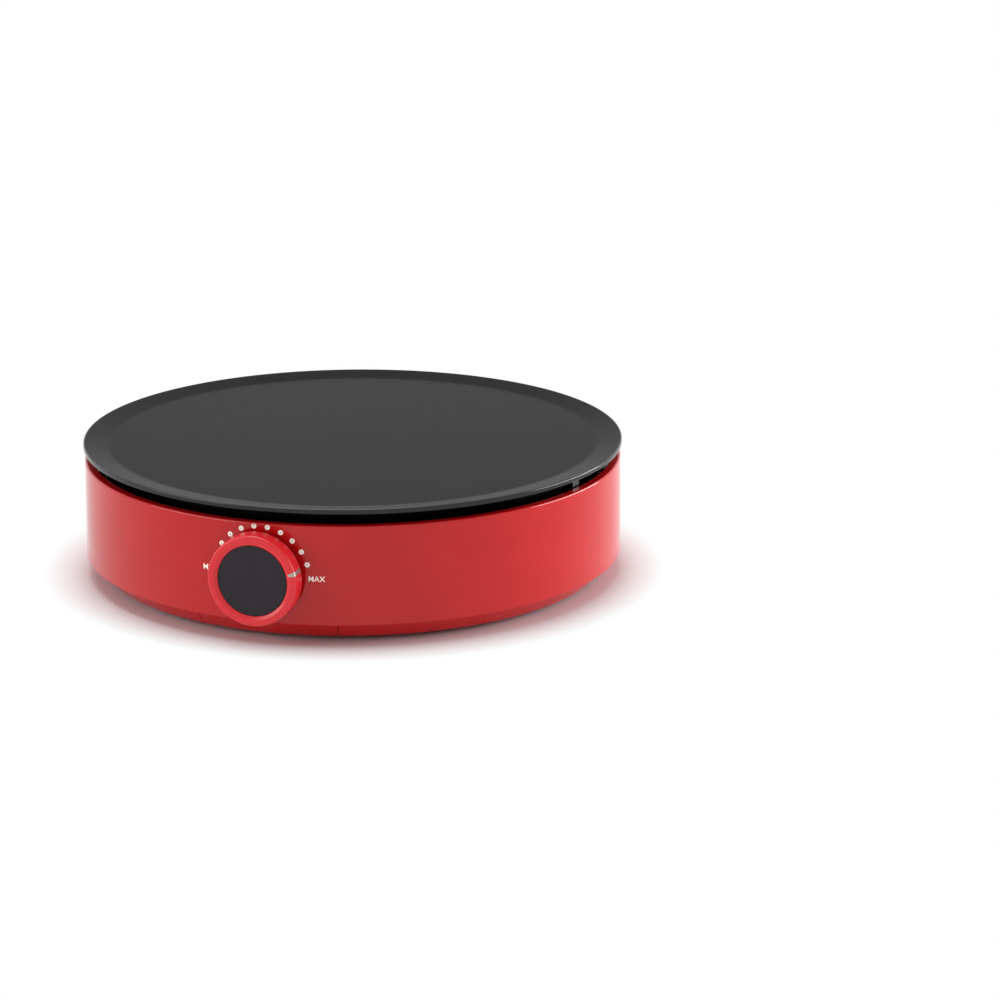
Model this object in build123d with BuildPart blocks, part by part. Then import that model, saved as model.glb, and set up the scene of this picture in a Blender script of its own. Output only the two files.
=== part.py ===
from build123d import *

import os
from math import cos, radians, sin

# Electric crepe maker: a cast plate on a round plastic housing, with a thermostat knob on the front wall.
# Millimetres. +Z is up, the knob faces -Y, and the origin is on the table under the middle of the plate.
# Angles around the housing are in degrees from the front (-Y), growing towards +X.

# Cooking plate
PLATE_RADIUS = 152.5
PLATE_TOP = 76.5
PLATE_LIP_RADIUS = 149.0
PLATE_LIP_DROP = 0.4
PLATE_EDGE = 2.7
DISC_RADIUS = 138.5
DISC_TOP = PLATE_TOP - 2.2
DISC_THICKNESS = 4.0
DISC_UNDERSIDE = DISC_TOP - DISC_THICKNESS
SKIRT_RADIUS = 142.5
SKIRT_WALL = 3.0
SKIRT_BOTTOM = 64.0
PILOT_DEPTH = 1.0

# Housing and base pan
FOOT_HEIGHT = 3.0
WALL_BOTTOM = 11.9
LIP_TOP = 67.1
WALL_RADIUS_BOTTOM = 152.3
WALL_RADIUS_TOP = 151.7
WALL = 2.4
LIP_INNER_RADIUS = 146.7
LEDGE_TOP = 60.0
LEDGE_INNER_RADIUS = 127.5
TONGUE_ANGLE = 15.6
NOTCH_ANGLE = 15.75
RIM_RADIUS = 142.5
RIM_TOP_RADIUS = 149.2
PAN_WALL = 2.2
PAN_FLOOR = 2.0
FLOOR_TOP = FOOT_HEIGHT + PAN_FLOOR
UPSTAND_TOP = 17.0
NOTCH_RADIUS = 139.4

# Posts, which take the plate brackets at the top and the base pan at the bottom
POST_ANGLES = (24, 90, 156, -156, -90, -24)
POST_RADIUS = 5.0
POST_CIRCLE = 134.0
POST_BOTTOM = 9.0

# Feet
FOOT_ANGLES = (42, 138, -138, -42)
FOOT_CIRCLE = 127.0
FOOT_RADIUS = 8.0

# Spring clips that centre the plate's skirt in the housing
CLIP_ANGLES = (76, -76)
CLIP_SCREW_CIRCLE = 138.8
CLIP_WIDTH = 7.0

# Heat shield
SHIELD_SHEET = 0.8
SHIELD_FLOOR = 50.0
SHIELD_FLOOR_RADIUS = 109.0
SHIELD_SIDE_RADIUS = 126.5
SHIELD_FLANGE_RADIUS = 141.0

# Heating element and its channel
ELEMENT_CIRCLE = 90.0
ELEMENT_RADIUS = 3.3
ELEMENT_HEIGHT = 66.9
ELEMENT_GAP_ANGLE = 18.0
ELEMENT_BEND = 9.0
ELEMENT_LEG = 8.0
CHANNEL_GAP_ANGLE = 26.0
CHANNEL_HALF_WIDTH = 6.0
CHANNEL_BOTTOM = 63.4
CHANNEL_CLEARANCE = 0.05
ELEMENT_STRAP_ANGLES = (60, 130, -130, -60)
STRAP_SCREW_CIRCLE = 79.0
STRAP_SHEET = 1.2
PIN_RADIUS = 1.2
PIN_BOTTOM = 38.0

# Sensor bulb and thermal fuse, both clamped to the plate's underside
BULB_RADIUS = 3.0
BULB_HALF_LENGTH = 30.0
BULB_Y = -52.0
BULB_SCREW_OFFSET = 9.5
FUSE_RADIUS = 2.3
FUSE_HALF_LENGTH = 8.0
FUSE_LEAD_END = 13.0
FUSE_Y = 40.0
FUSE_SCREW_OFFSET = 9.0
UNDERSIDE_GAP = 0.05

# Thermostat and knob, on one axis along Y
DIAL_HEIGHT = 38.6
SHAFT_RADIUS = 3.0
RUNNING_GAP = 0.05
PAD_FACE = 142.0
THERMOSTAT_WIDTH = 42.0
THERMOSTAT_HEIGHT = 31.0
THERMOSTAT_PLATE = 1.2
THERMOSTAT_FRONT = PAD_FACE - THERMOSTAT_PLATE
THERMOSTAT_BACK = 118.8
DIAPHRAGM_HEIGHT = 39.0
DIAPHRAGM_BACK = 113.8
MOUNTING_SCREW_X = 14.0
BLADE_X = 14.0
BLADE_HEIGHT = 27.0
BLADE_END = 108.8
KNOB_RADIUS = 25.0
KNOB_FACE = 165.3
KNOB_BACK = 155.6
KNOB_WALL = 2.0
KNOB_SHAFT_END = 161.0
CAP_RADIUS = 19.4
CAP_FLOOR = 162.8
CAP_THICKNESS = 1.4
POINTER_ANGLE = 14.0
POINTER_WIDTH = 2.4
POINTER_TIP_WIDTH = 1.0
POINTER_PROUD = 0.15

# Cord inlet and terminal block, at the back
INLET_HEIGHT = 26.0
INLET_HALF = 6.5
CORD_BORE = 3.6
SADDLE_GROOVE = 5.1
BLOCK_Y = 96.0
BLOCK_TOP = 27.0
POLE_X = 11.0
BLOCK_SCREW_X = 5.6
CLAMP_Y = 128.0
CLAMP_SCREW_X = 10.0

# Leads, and the openings in the heat shield that they pass
LEAD_RADIUS = 1.2
FUSE_IN_HOLE = (44.0, 40.0)
FUSE_OUT_HOLE = (-30.0, 56.0)
EARTH_HOLE = (0.0, 60.0)
CAPILLARY_HOLE = (52.0, -65.0)
CAPILLARY_RADIUS = 0.8

# Screws
SCREW_HOLE = 1.55
SCREW_RADIUS = 1.5
BASE_SCREW_RADIUS = 1.85
FOOT_SCREW_RADIUS = 1.7

UPRIGHT = (Align.CENTER, Align.CENTER, Align.MIN)
HANGING = (Align.CENTER, Align.CENTER, Align.MAX)


def around(angles, radius=0.0, height=0.0):
    """Places on a circle about the plate's axis, with +X pointing outwards."""
    return [
        Location((radius * sin(radians(a)), -radius * cos(radians(a)), height), (0, 0, a - 90))
        for a in angles
    ]


def radial_plane(angle):
    """Upright plane through the plate's axis: x is the radius at that angle, y is the height."""
    a = radians(angle)
    return Plane(origin=(0, 0, 0), x_dir=(sin(a), -cos(a), 0), z_dir=(-cos(a), -sin(a), 0))


def dial_plane(distance):
    """Plane across the knob's axis, this far in front of the plate's axis, facing outwards."""
    return Plane(origin=(0, -distance, DIAL_HEIGHT), x_dir=(1, 0, 0), z_dir=(0, -1, 0))


def nearest_vertex(sketch, corner):
    """Vertex of the sketch at this corner, in the sketch's own x and y."""
    return sketch.vertices().sort_by_distance((*corner, 0))[0]


def pan_screw(head_radius, head_height, shank_radius, shank_length):
    """Cross-recessed screw on Z. The head hangs below z = 0 and the shank stands above it."""
    edge = head_height / 3
    slot = (1.2 * head_radius, 0.3 * head_radius, 1.2 * head_height)
    with BuildPart() as screw:
        with BuildSketch(Plane.XZ):
            with BuildLine():
                Polyline(
                    (0, -head_height), (head_radius - edge, -head_height),
                    (head_radius, edge - head_height), (head_radius, 0),
                    (shank_radius, 0), (shank_radius, shank_length), (0, shank_length),
                    close=True,
                )
            make_face()
        revolve(axis=Axis.Z)
        with Locations(*[Location((0, 0, -head_height), (0, 0, turn)) for turn in (0, 90)]):
            Box(*slot, mode=Mode.SUBTRACT)
    return screw.part


def tube(route, radius, bend):
    """Round tube along straight runs joined by arcs."""
    with BuildPart() as lead:
        with BuildLine() as path:
            FilletPolyline(*route, radius=bend)
        with BuildSketch(Plane(origin=path.line @ 0, z_dir=path.line % 0)):
            Circle(radius)
        sweep()
    return lead


# ---- Housing: wall, lip and ledge in one turned section, tongue, posts and thermostat pad ----
WALL_INNER_TOP = WALL_RADIUS_TOP - WALL
WALL_INNER_BOTTOM = WALL_RADIUS_BOTTOM - WALL
PAD_HALF_WIDTH = 24.0
PAD_BOTTOM = 19.6
PAD_RIB = 2.0
LEDGE_BOTTOM = LEDGE_TOP - WALL
PAD_HEIGHT = LEDGE_BOTTOM - PAD_BOTTOM + 1.0
PAD_DEPTH = 7.9
HEAD_SEAT = 149.6

with BuildPart() as housing:
    with BuildSketch(Plane.XZ) as housing_section:
        with BuildLine():
            Polyline(
                (WALL_RADIUS_BOTTOM, WALL_BOTTOM), (WALL_RADIUS_TOP, LIP_TOP),
                (LIP_INNER_RADIUS, LIP_TOP), (LIP_INNER_RADIUS, LIP_TOP - WALL),
                (WALL_INNER_TOP, LIP_TOP - WALL), (WALL_INNER_TOP, LEDGE_TOP),
                (LEDGE_INNER_RADIUS, LEDGE_TOP), (LEDGE_INNER_RADIUS, LEDGE_BOTTOM),
                (WALL_INNER_TOP, LEDGE_BOTTOM), (WALL_INNER_BOTTOM, WALL_BOTTOM),
                close=True,
            )
        make_face()
        for corner, radius in (
            ((WALL_RADIUS_BOTTOM, WALL_BOTTOM), 0.9),
            ((WALL_RADIUS_TOP, LIP_TOP), 1.0),
            ((LIP_INNER_RADIUS, LIP_TOP), 0.5),
        ):
            fillet(nearest_vertex(housing_section, corner), radius=radius)
    revolve(axis=Axis.Z)
    # Tongue, which fills the notch in the base pan's side
    with BuildSketch(radial_plane(-TONGUE_ANGLE)):
        with BuildLine():
            Polyline(
                (NOTCH_RADIUS + 0.6, FOOT_HEIGHT), (RIM_RADIUS - 0.8, FOOT_HEIGHT),
                (RIM_RADIUS, FOOT_HEIGHT + 0.8), (RIM_TOP_RADIUS, WALL_BOTTOM),
                (WALL_INNER_BOTTOM + 1, WALL_BOTTOM), (WALL_INNER_BOTTOM + 1, WALL_BOTTOM + 2.6),
                (RIM_TOP_RADIUS - 1.7, WALL_BOTTOM + 2.6), (RIM_TOP_RADIUS - 1.7, WALL_BOTTOM + 1.4),
                (RIM_RADIUS - 1.7, FLOOR_TOP + 0.2), (NOTCH_RADIUS + 0.6, FLOOR_TOP + 0.2),
                close=True,
            )
        make_face()
    revolve(axis=Axis.Z, revolution_arc=2 * TONGUE_ANGLE)
    # Posts
    with Locations(*around(POST_ANGLES, POST_CIRCLE, POST_BOTTOM)):
        Cylinder(POST_RADIUS, LEDGE_BOTTOM - POST_BOTTOM + 1, align=UPRIGHT)
    # Frame and bosses behind the front wall, which give the thermostat a flat seat
    with BuildSketch(Plane.XZ.offset(PAD_FACE)):
        with Locations((0, PAD_BOTTOM + PAD_HEIGHT / 2)):
            Rectangle(2 * PAD_HALF_WIDTH, PAD_HEIGHT)
            Rectangle(2 * (PAD_HALF_WIDTH - PAD_RIB), PAD_HEIGHT - 2 * PAD_RIB, mode=Mode.SUBTRACT)
        with Locations((0, DIAL_HEIGHT)):
            Circle(8.5)
        with Locations((-MOUNTING_SCREW_X, DIAL_HEIGHT), (MOUNTING_SCREW_X, DIAL_HEIGHT)):
            Circle(4.8)
    extrude(amount=PAD_DEPTH)
    # Bosses under the ledge for the spring clips
    with Locations(*around(CLIP_ANGLES, CLIP_SCREW_CIRCLE, LEDGE_BOTTOM + 1)):
        Cylinder(3.5, 6.0, align=HANGING)
    # Screw holes in the posts and bosses
    with Locations(*around(POST_ANGLES, POST_CIRCLE, POST_BOTTOM)):
        Cylinder(BASE_SCREW_RADIUS + 0.05, 18, align=UPRIGHT, mode=Mode.SUBTRACT)
    with Locations(*around(POST_ANGLES, POST_CIRCLE, LEDGE_TOP)):
        Cylinder(SCREW_HOLE, 15, align=HANGING, mode=Mode.SUBTRACT)
    with Locations(*around(CLIP_ANGLES, CLIP_SCREW_CIRCLE, LEDGE_TOP)):
        Cylinder(SCREW_HOLE, 8, align=HANGING, mode=Mode.SUBTRACT)
    # Holes of the thermostat's bush and mounting screws
    with BuildSketch(dial_plane(PAD_FACE)):
        Circle(5.3)
        with Locations((-MOUNTING_SCREW_X, 0), (MOUNTING_SCREW_X, 0)):
            Circle(2.0)
    extrude(amount=20, mode=Mode.SUBTRACT)
    with BuildSketch(dial_plane(HEAD_SEAT)):
        with Locations((-MOUNTING_SCREW_X, 0), (MOUNTING_SCREW_X, 0)):
            Circle(3.9)
    extrude(amount=10, mode=Mode.SUBTRACT)
    # Cord inlet, square so that the bush can't turn in it
    with BuildSketch(Plane(origin=(0, WALL_RADIUS_TOP + WALL, INLET_HEIGHT), x_dir=(-1, 0, 0), z_dir=(0, 1, 0))):
        RectangleRounded(2 * INLET_HALF, 2 * INLET_HALF, 1.5)
    extrude(amount=-4 * WALL, mode=Mode.SUBTRACT)

# ---- Base pan: floor, tapering side and upstand, with bosses, ribs, vents and the cord saddle ----
SADDLE = (28.0, 10.0, INLET_HEIGHT - FLOOR_TOP)

with BuildPart() as base_pan:
    with BuildSketch(Plane.XZ):
        with BuildLine():
            Polyline(
                (0, FOOT_HEIGHT), (RIM_RADIUS - 0.8, FOOT_HEIGHT), (RIM_RADIUS, FOOT_HEIGHT + 0.8),
                (RIM_TOP_RADIUS, WALL_BOTTOM), (RIM_TOP_RADIUS, UPSTAND_TOP),
                (RIM_TOP_RADIUS - PAN_WALL, UPSTAND_TOP), (RIM_TOP_RADIUS - PAN_WALL, WALL_BOTTOM + 0.8),
                (RIM_RADIUS - 1.8, FLOOR_TOP), (0, FLOOR_TOP),
                close=True,
            )
        make_face()
    revolve(axis=Axis.Z)
    with BuildSketch(radial_plane(-NOTCH_ANGLE)):
        with Locations((NOTCH_RADIUS, 0)):
            Rectangle(20, UPSTAND_TOP + 5, align=(Align.MIN, Align.MIN))
    revolve(axis=Axis.Z, revolution_arc=2 * NOTCH_ANGLE, mode=Mode.SUBTRACT)
    # Stiffening rings on the floor
    with BuildSketch(Plane.XY.offset(FLOOR_TOP)):
        for ring in (48, 112):
            Circle(ring + 1)
            Circle(ring - 1, mode=Mode.SUBTRACT)
        Circle(20, mode=Mode.SUBTRACT)
    extrude(amount=4)
    # Screw bosses under the posts, with sunk seats for the heads
    with Locations(*around(POST_ANGLES, POST_CIRCLE, FLOOR_TOP)):
        Cylinder(6.5, POST_BOTTOM - FLOOR_TOP, align=UPRIGHT)
    with Locations(*around(POST_ANGLES, POST_CIRCLE, 0)):
        Cylinder(2.1, 20, align=UPRIGHT, mode=Mode.SUBTRACT)
        Cylinder(4.2, 7, align=UPRIGHT, mode=Mode.SUBTRACT)
    # Foot bosses
    with Locations(*around(FOOT_ANGLES, FOOT_CIRCLE, FLOOR_TOP)):
        Cylinder(4.5, 7, align=UPRIGHT)
    with Locations(*around(FOOT_ANGLES, FOOT_CIRCLE, 0)):
        Cylinder(FOOT_SCREW_RADIUS + 0.05, 11, align=UPRIGHT, mode=Mode.SUBTRACT)
    # Terminal block bosses and cord saddle
    with Locations(*[(x, BLOCK_Y, FLOOR_TOP) for x in (-BLOCK_SCREW_X, BLOCK_SCREW_X)]):
        Cylinder(4, 4, align=UPRIGHT)
    with Locations(*[(x, BLOCK_Y, FLOOR_TOP + 1) for x in (-BLOCK_SCREW_X, BLOCK_SCREW_X)]):
        Cylinder(SCREW_HOLE, 4, align=UPRIGHT, mode=Mode.SUBTRACT)
    with Locations((0, CLAMP_Y, FLOOR_TOP)):
        Box(*SADDLE, align=UPRIGHT)
    with BuildSketch(Plane(origin=(0, CLAMP_Y + 10, INLET_HEIGHT), x_dir=(-1, 0, 0), z_dir=(0, 1, 0))):
        with BuildLine():
            Polyline(
                (-SADDLE_GROOVE, 0), (-1.5, -CORD_BORE), (1.5, -CORD_BORE), (SADDLE_GROOVE, 0),
                (SADDLE_GROOVE, 5), (-SADDLE_GROOVE, 5),
                close=True,
            )
        make_face()
    extrude(amount=-20, mode=Mode.SUBTRACT)
    with Locations(*[(x, CLAMP_Y, INLET_HEIGHT) for x in (-CLAMP_SCREW_X, CLAMP_SCREW_X)]):
        Cylinder(SCREW_HOLE, 12, align=HANGING, mode=Mode.SUBTRACT)
    # Ring of vent slots, and a shallow bare panel on the underside
    with BuildSketch():
        with Locations(*around(range(0, 360, 15), 70)):
            SlotOverall(26, 4)
    extrude(amount=FLOOR_TOP + 1, mode=Mode.SUBTRACT)
    with BuildSketch(Plane.XY.offset(FOOT_HEIGHT)):
        with Locations((0, -112)):
            RectangleRounded(60, 26, 2)
    extrude(amount=0.4, mode=Mode.SUBTRACT)

# ---- Rubber feet, and the screws of the feet and of the base pan ----
foot_screw = pan_screw(3.4, 1.3, FOOT_SCREW_RADIUS, 8.9)
base_screw = pan_screw(3.9, 2.2, BASE_SCREW_RADIUS, 18)

with BuildPart() as foot_form:
    with BuildSketch(Plane.XZ):
        with BuildLine():
            Polyline(
                (3.8, 0), (FOOT_RADIUS - 1.1, 0), (FOOT_RADIUS - 0.5, 0.6), (FOOT_RADIUS, FOOT_HEIGHT),
                (1.9, FOOT_HEIGHT), (1.9, 1.6), (3.8, 1.6),
                close=True,
            )
        make_face()
    revolve(axis=Axis.Z)

with BuildPart() as rubber_feet:
    with Locations(*around(FOOT_ANGLES, FOOT_CIRCLE)):
        add(foot_form.part)

with BuildPart() as foot_screws:
    with Locations(*around(FOOT_ANGLES, FOOT_CIRCLE, 1.6)):
        add(foot_screw)

with BuildPart() as base_screws:
    with Locations(*around(POST_ANGLES, POST_CIRCLE, 7)):
        add(base_screw)

# ---- Cooking plate: disc, border, skirt, element channel and screw bosses ----
PLATE_BOSS_CIRCLE = 123.0
PLATE_BOSS_BOTTOM = 65.8
BULB_BOSS_BOTTOM = DISC_UNDERSIDE - UNDERSIDE_GAP - 2 * BULB_RADIUS
FUSE_BOSS_BOTTOM = DISC_UNDERSIDE - UNDERSIDE_GAP - 2 * FUSE_RADIUS
BULB_SCREW_PLACES = [(0, BULB_Y + side * BULB_SCREW_OFFSET) for side in (-1, 1)]
FUSE_SCREW_PLACES = [(0, FUSE_Y + side * FUSE_SCREW_OFFSET) for side in (-1, 1)]
GROOVE_RADIUS = ELEMENT_RADIUS + CHANNEL_CLEARANCE

with BuildPart() as cooking_plate:
    with BuildSketch(Plane.XZ):
        with BuildLine():
            Polyline(
                (0, DISC_TOP), (DISC_RADIUS, DISC_TOP),
                (PLATE_LIP_RADIUS, PLATE_TOP - PLATE_LIP_DROP), (PLATE_RADIUS - 0.6, PLATE_TOP),
                (PLATE_RADIUS, PLATE_TOP - 0.6), (PLATE_RADIUS, PLATE_TOP - PLATE_EDGE + 0.6),
                (PLATE_RADIUS - 0.6, PLATE_TOP - PLATE_EDGE), (SKIRT_RADIUS, DISC_UNDERSIDE + 1.6),
                (SKIRT_RADIUS, SKIRT_BOTTOM), (SKIRT_RADIUS - SKIRT_WALL, SKIRT_BOTTOM),
                (SKIRT_RADIUS - SKIRT_WALL, DISC_UNDERSIDE), (0, DISC_UNDERSIDE),
                close=True,
            )
        make_face()
    revolve(axis=Axis.Z)
    # Channel that holds the heating element, open between the element's ends
    with BuildSketch(radial_plane(180 + CHANNEL_GAP_ANGLE)):
        with Locations((ELEMENT_CIRCLE, CHANNEL_BOTTOM)):
            Rectangle(
                2 * CHANNEL_HALF_WIDTH, DISC_UNDERSIDE - CHANNEL_BOTTOM + 0.5,
                align=(Align.CENTER, Align.MIN),
            )
            Rectangle(
                2 * GROOVE_RADIUS, ELEMENT_HEIGHT - CHANNEL_BOTTOM,
                align=(Align.CENTER, Align.MIN), mode=Mode.SUBTRACT,
            )
        with Locations((ELEMENT_CIRCLE, ELEMENT_HEIGHT)):
            Circle(GROOVE_RADIUS, mode=Mode.SUBTRACT)
    revolve(axis=Axis.Z, revolution_arc=360 - 2 * CHANNEL_GAP_ANGLE)
    # Bosses for the brackets, the element straps, the bulb strap and the fuse strap
    with Locations(*around(POST_ANGLES, PLATE_BOSS_CIRCLE, PLATE_BOSS_BOTTOM)):
        Cylinder(4.5, DISC_UNDERSIDE - PLATE_BOSS_BOTTOM + 0.5, align=UPRIGHT)
    with Locations(*around(ELEMENT_STRAP_ANGLES, STRAP_SCREW_CIRCLE, CHANNEL_BOTTOM)):
        Cylinder(4, DISC_UNDERSIDE - CHANNEL_BOTTOM + 0.5, align=UPRIGHT)
    with Locations(*[(x, y, BULB_BOSS_BOTTOM) for x, y in BULB_SCREW_PLACES]):
        Cylinder(4, DISC_UNDERSIDE - BULB_BOSS_BOTTOM + 0.5, align=UPRIGHT)
    with Locations(*[(x, y, FUSE_BOSS_BOTTOM) for x, y in FUSE_SCREW_PLACES]):
        Cylinder(4, DISC_UNDERSIDE - FUSE_BOSS_BOTTOM + 0.5, align=UPRIGHT)
    # Blind screw holes
    with Locations(
        *around(POST_ANGLES, PLATE_BOSS_CIRCLE, DISC_UNDERSIDE + PILOT_DEPTH),
        *around(ELEMENT_STRAP_ANGLES, STRAP_SCREW_CIRCLE, DISC_UNDERSIDE + PILOT_DEPTH),
        *[(x, y, DISC_UNDERSIDE + PILOT_DEPTH) for x, y in BULB_SCREW_PLACES + FUSE_SCREW_PLACES],
    ):
        Cylinder(SCREW_HOLE, 10, align=HANGING, mode=Mode.SUBTRACT)

# ---- Heating element: tubular ring whose two ends turn down through the heat shield ----
ring_end = radians(180 - ELEMENT_GAP_ANGLE)
LEG_X = ELEMENT_CIRCLE * sin(ring_end) + ELEMENT_BEND * cos(ring_end)
LEG_Y = -ELEMENT_CIRCLE * cos(ring_end) + ELEMENT_BEND * sin(ring_end)
LEG_BOTTOM = ELEMENT_HEIGHT - ELEMENT_BEND - ELEMENT_LEG
LEG_PLACES = [(-LEG_X, LEG_Y), (LEG_X, LEG_Y)]

with BuildPart() as heating_element:
    with BuildSketch(radial_plane(180 + ELEMENT_GAP_ANGLE)):
        with Locations((ELEMENT_CIRCLE, ELEMENT_HEIGHT)):
            Circle(ELEMENT_RADIUS)
    revolve(axis=Axis.Z, revolution_arc=360 - 2 * ELEMENT_GAP_ANGLE)
    for side in (-1, 1):
        start = (side * ELEMENT_CIRCLE * sin(ring_end), -ELEMENT_CIRCLE * cos(ring_end), ELEMENT_HEIGHT)
        onward = (side * cos(ring_end), sin(ring_end), 0)
        with BuildLine(Plane(origin=start, x_dir=onward, z_dir=(onward[1], -onward[0], 0))):
            JernArc(start=(0, 0), tangent=(1, 0), radius=ELEMENT_BEND, arc_size=-90)
            Line((ELEMENT_BEND, -ELEMENT_BEND), (ELEMENT_BEND, -ELEMENT_BEND - ELEMENT_LEG))
        with BuildSketch(Plane(origin=start, z_dir=onward)):
            Circle(ELEMENT_RADIUS)
        sweep()

with BuildPart() as element_insulators:
    with Locations(*[(x, y, LEG_BOTTOM) for x, y in LEG_PLACES]):
        Cylinder(3.2, 5, align=HANGING)
        Cylinder(PIN_RADIUS + 0.05, 5, align=HANGING, mode=Mode.SUBTRACT)

with BuildPart() as element_pins:
    with Locations(*[(x, y, PIN_BOTTOM) for x, y in LEG_PLACES]):
        Cylinder(PIN_RADIUS, LEG_BOTTOM - PIN_BOTTOM, align=UPRIGHT)

# ---- Straps under the plate, and all screws that go up into the plate ----
small_screw = pan_screw(3.0, 2.0, SCREW_RADIUS, 5.5)

with BuildPart() as element_strap_form:
    with BuildSketch(Plane.XY.offset(CHANNEL_BOTTOM - STRAP_SHEET)):
        with Locations((STRAP_SCREW_CIRCLE + 6, 0)):
            RectangleRounded(21, 12, 2)
        with Locations((STRAP_SCREW_CIRCLE, 0)):
            Circle(SCREW_HOLE, mode=Mode.SUBTRACT)
    extrude(amount=STRAP_SHEET)

with BuildPart() as element_straps:
    with Locations(*around(ELEMENT_STRAP_ANGLES)):
        add(element_strap_form.part)

with BuildPart() as element_strap_screws:
    with Locations(*around(ELEMENT_STRAP_ANGLES, STRAP_SCREW_CIRCLE, CHANNEL_BOTTOM - STRAP_SHEET)):
        add(small_screw)

with BuildPart() as bulb_strap:
    with BuildSketch(Plane.XY.offset(BULB_BOSS_BOTTOM - STRAP_SHEET)):
        with Locations((0, BULB_Y)):
            RectangleRounded(12, 2 * BULB_SCREW_OFFSET + 8, 2)
        with Locations(*BULB_SCREW_PLACES):
            Circle(SCREW_HOLE, mode=Mode.SUBTRACT)
    extrude(amount=STRAP_SHEET)

with BuildPart() as bulb_strap_screws:
    with Locations(*[(x, y, BULB_BOSS_BOTTOM - STRAP_SHEET) for x, y in BULB_SCREW_PLACES]):
        add(small_screw)

with BuildPart() as fuse_strap:
    with BuildSketch(Plane.XY.offset(FUSE_BOSS_BOTTOM - STRAP_SHEET)):
        with Locations((0, FUSE_Y)):
            RectangleRounded(8, 2 * FUSE_SCREW_OFFSET + 7, 2)
        with Locations(*FUSE_SCREW_PLACES):
            Circle(SCREW_HOLE, mode=Mode.SUBTRACT)
    extrude(amount=STRAP_SHEET)

with BuildPart() as fuse_strap_screws:
    with Locations(*[(x, y, FUSE_BOSS_BOTTOM - STRAP_SHEET) for x, y in FUSE_SCREW_PLACES]):
        add(small_screw)

# ---- Sensor bulb and thermal fuse, lying against the plate's underside ----
BULB_HEIGHT = DISC_UNDERSIDE - UNDERSIDE_GAP - BULB_RADIUS
FUSE_HEIGHT = DISC_UNDERSIDE - UNDERSIDE_GAP - FUSE_RADIUS

with BuildPart() as sensor_bulb:
    with Locations(Location((0, BULB_Y, BULB_HEIGHT), (0, 90, 0))):
        Cylinder(BULB_RADIUS, 2 * BULB_HALF_LENGTH)
    chamfer(sensor_bulb.edges().filter_by(GeomType.CIRCLE), length=0.8)

with BuildPart() as thermal_fuse:
    with Locations(Location((0, FUSE_Y, FUSE_HEIGHT), (0, 90, 0))):
        Cylinder(FUSE_RADIUS, 2 * FUSE_HALF_LENGTH)
        Cylinder(0.6, 2 * FUSE_LEAD_END)

# ---- Heat shield: sheet-metal pan hung in the housing's ledge ----
with BuildPart() as heat_shield:
    with BuildSketch(Plane.XZ):
        with BuildLine():
            Polyline(
                (0, SHIELD_FLOOR), (SHIELD_FLOOR_RADIUS, SHIELD_FLOOR), (SHIELD_SIDE_RADIUS, LEDGE_TOP),
                (SHIELD_FLANGE_RADIUS, LEDGE_TOP), (SHIELD_FLANGE_RADIUS, LEDGE_TOP + SHIELD_SHEET),
                (SHIELD_SIDE_RADIUS - SHIELD_SHEET, LEDGE_TOP + SHIELD_SHEET),
                (SHIELD_FLOOR_RADIUS - SHIELD_SHEET, SHIELD_FLOOR + SHIELD_SHEET),
                (0, SHIELD_FLOOR + SHIELD_SHEET),
                close=True,
            )
        make_face()
    revolve(axis=Axis.Z)
    with Locations(
        *around(POST_ANGLES, POST_CIRCLE, LEDGE_TOP), *around(CLIP_ANGLES, CLIP_SCREW_CIRCLE, LEDGE_TOP)
    ):
        Cylinder(SCREW_HOLE, 3, mode=Mode.SUBTRACT)
    with BuildSketch(Plane.XY.offset(SHIELD_FLOOR - 1)):
        with Locations(*LEG_PLACES):
            Circle(5)
        with Locations(FUSE_IN_HOLE, FUSE_OUT_HOLE, CAPILLARY_HOLE):
            Circle(4)
        with Locations(EARTH_HOLE):
            Circle(SCREW_HOLE)
    extrude(amount=3, mode=Mode.SUBTRACT)

# ---- Plate brackets: Z-shaped steel strips from the housing's posts to the plate's bosses ----
BRACKET_SHEET = 1.2
BRACKET_FOOT = LEDGE_TOP + SHIELD_SHEET
BRACKET_HEAD = PLATE_BOSS_BOTTOM - BRACKET_SHEET

with BuildPart() as bracket_form:
    with BuildSketch(Plane.XZ):
        with BuildLine():
            Polyline(
                (139.0, BRACKET_FOOT), (128.0, BRACKET_FOOT), (128.0, BRACKET_HEAD), (118.5, BRACKET_HEAD),
                (118.5, PLATE_BOSS_BOTTOM), (128.0 + BRACKET_SHEET, PLATE_BOSS_BOTTOM),
                (128.0 + BRACKET_SHEET, BRACKET_FOOT + BRACKET_SHEET),
                (139.0, BRACKET_FOOT + BRACKET_SHEET),
                close=True,
            )
        make_face()
    extrude(amount=7, both=True)
    with Locations((POST_CIRCLE, 0, BRACKET_FOOT), (PLATE_BOSS_CIRCLE, 0, BRACKET_HEAD)):
        Cylinder(SCREW_HOLE, 6, mode=Mode.SUBTRACT)

with BuildPart() as plate_brackets:
    with Locations(*around(POST_ANGLES)):
        add(bracket_form.part)

with BuildPart() as plate_screws:
    with Locations(*around(POST_ANGLES, PLATE_BOSS_CIRCLE, BRACKET_HEAD)):
        add(small_screw)

bracket_screw = pan_screw(3.0, 2.0, SCREW_RADIUS, 14)

with BuildPart() as bracket_screws:
    with Locations(*around(POST_ANGLES, POST_CIRCLE, BRACKET_FOOT + BRACKET_SHEET)):
        add(bracket_screw, rotation=(180, 0, 0))

# ---- Spring clips in the gap between the plate's skirt and the housing's lip ----
CLIP_SHEET = 0.8
CLIP_RISER = 144.0
CLIP_TOP = 71.0

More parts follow.
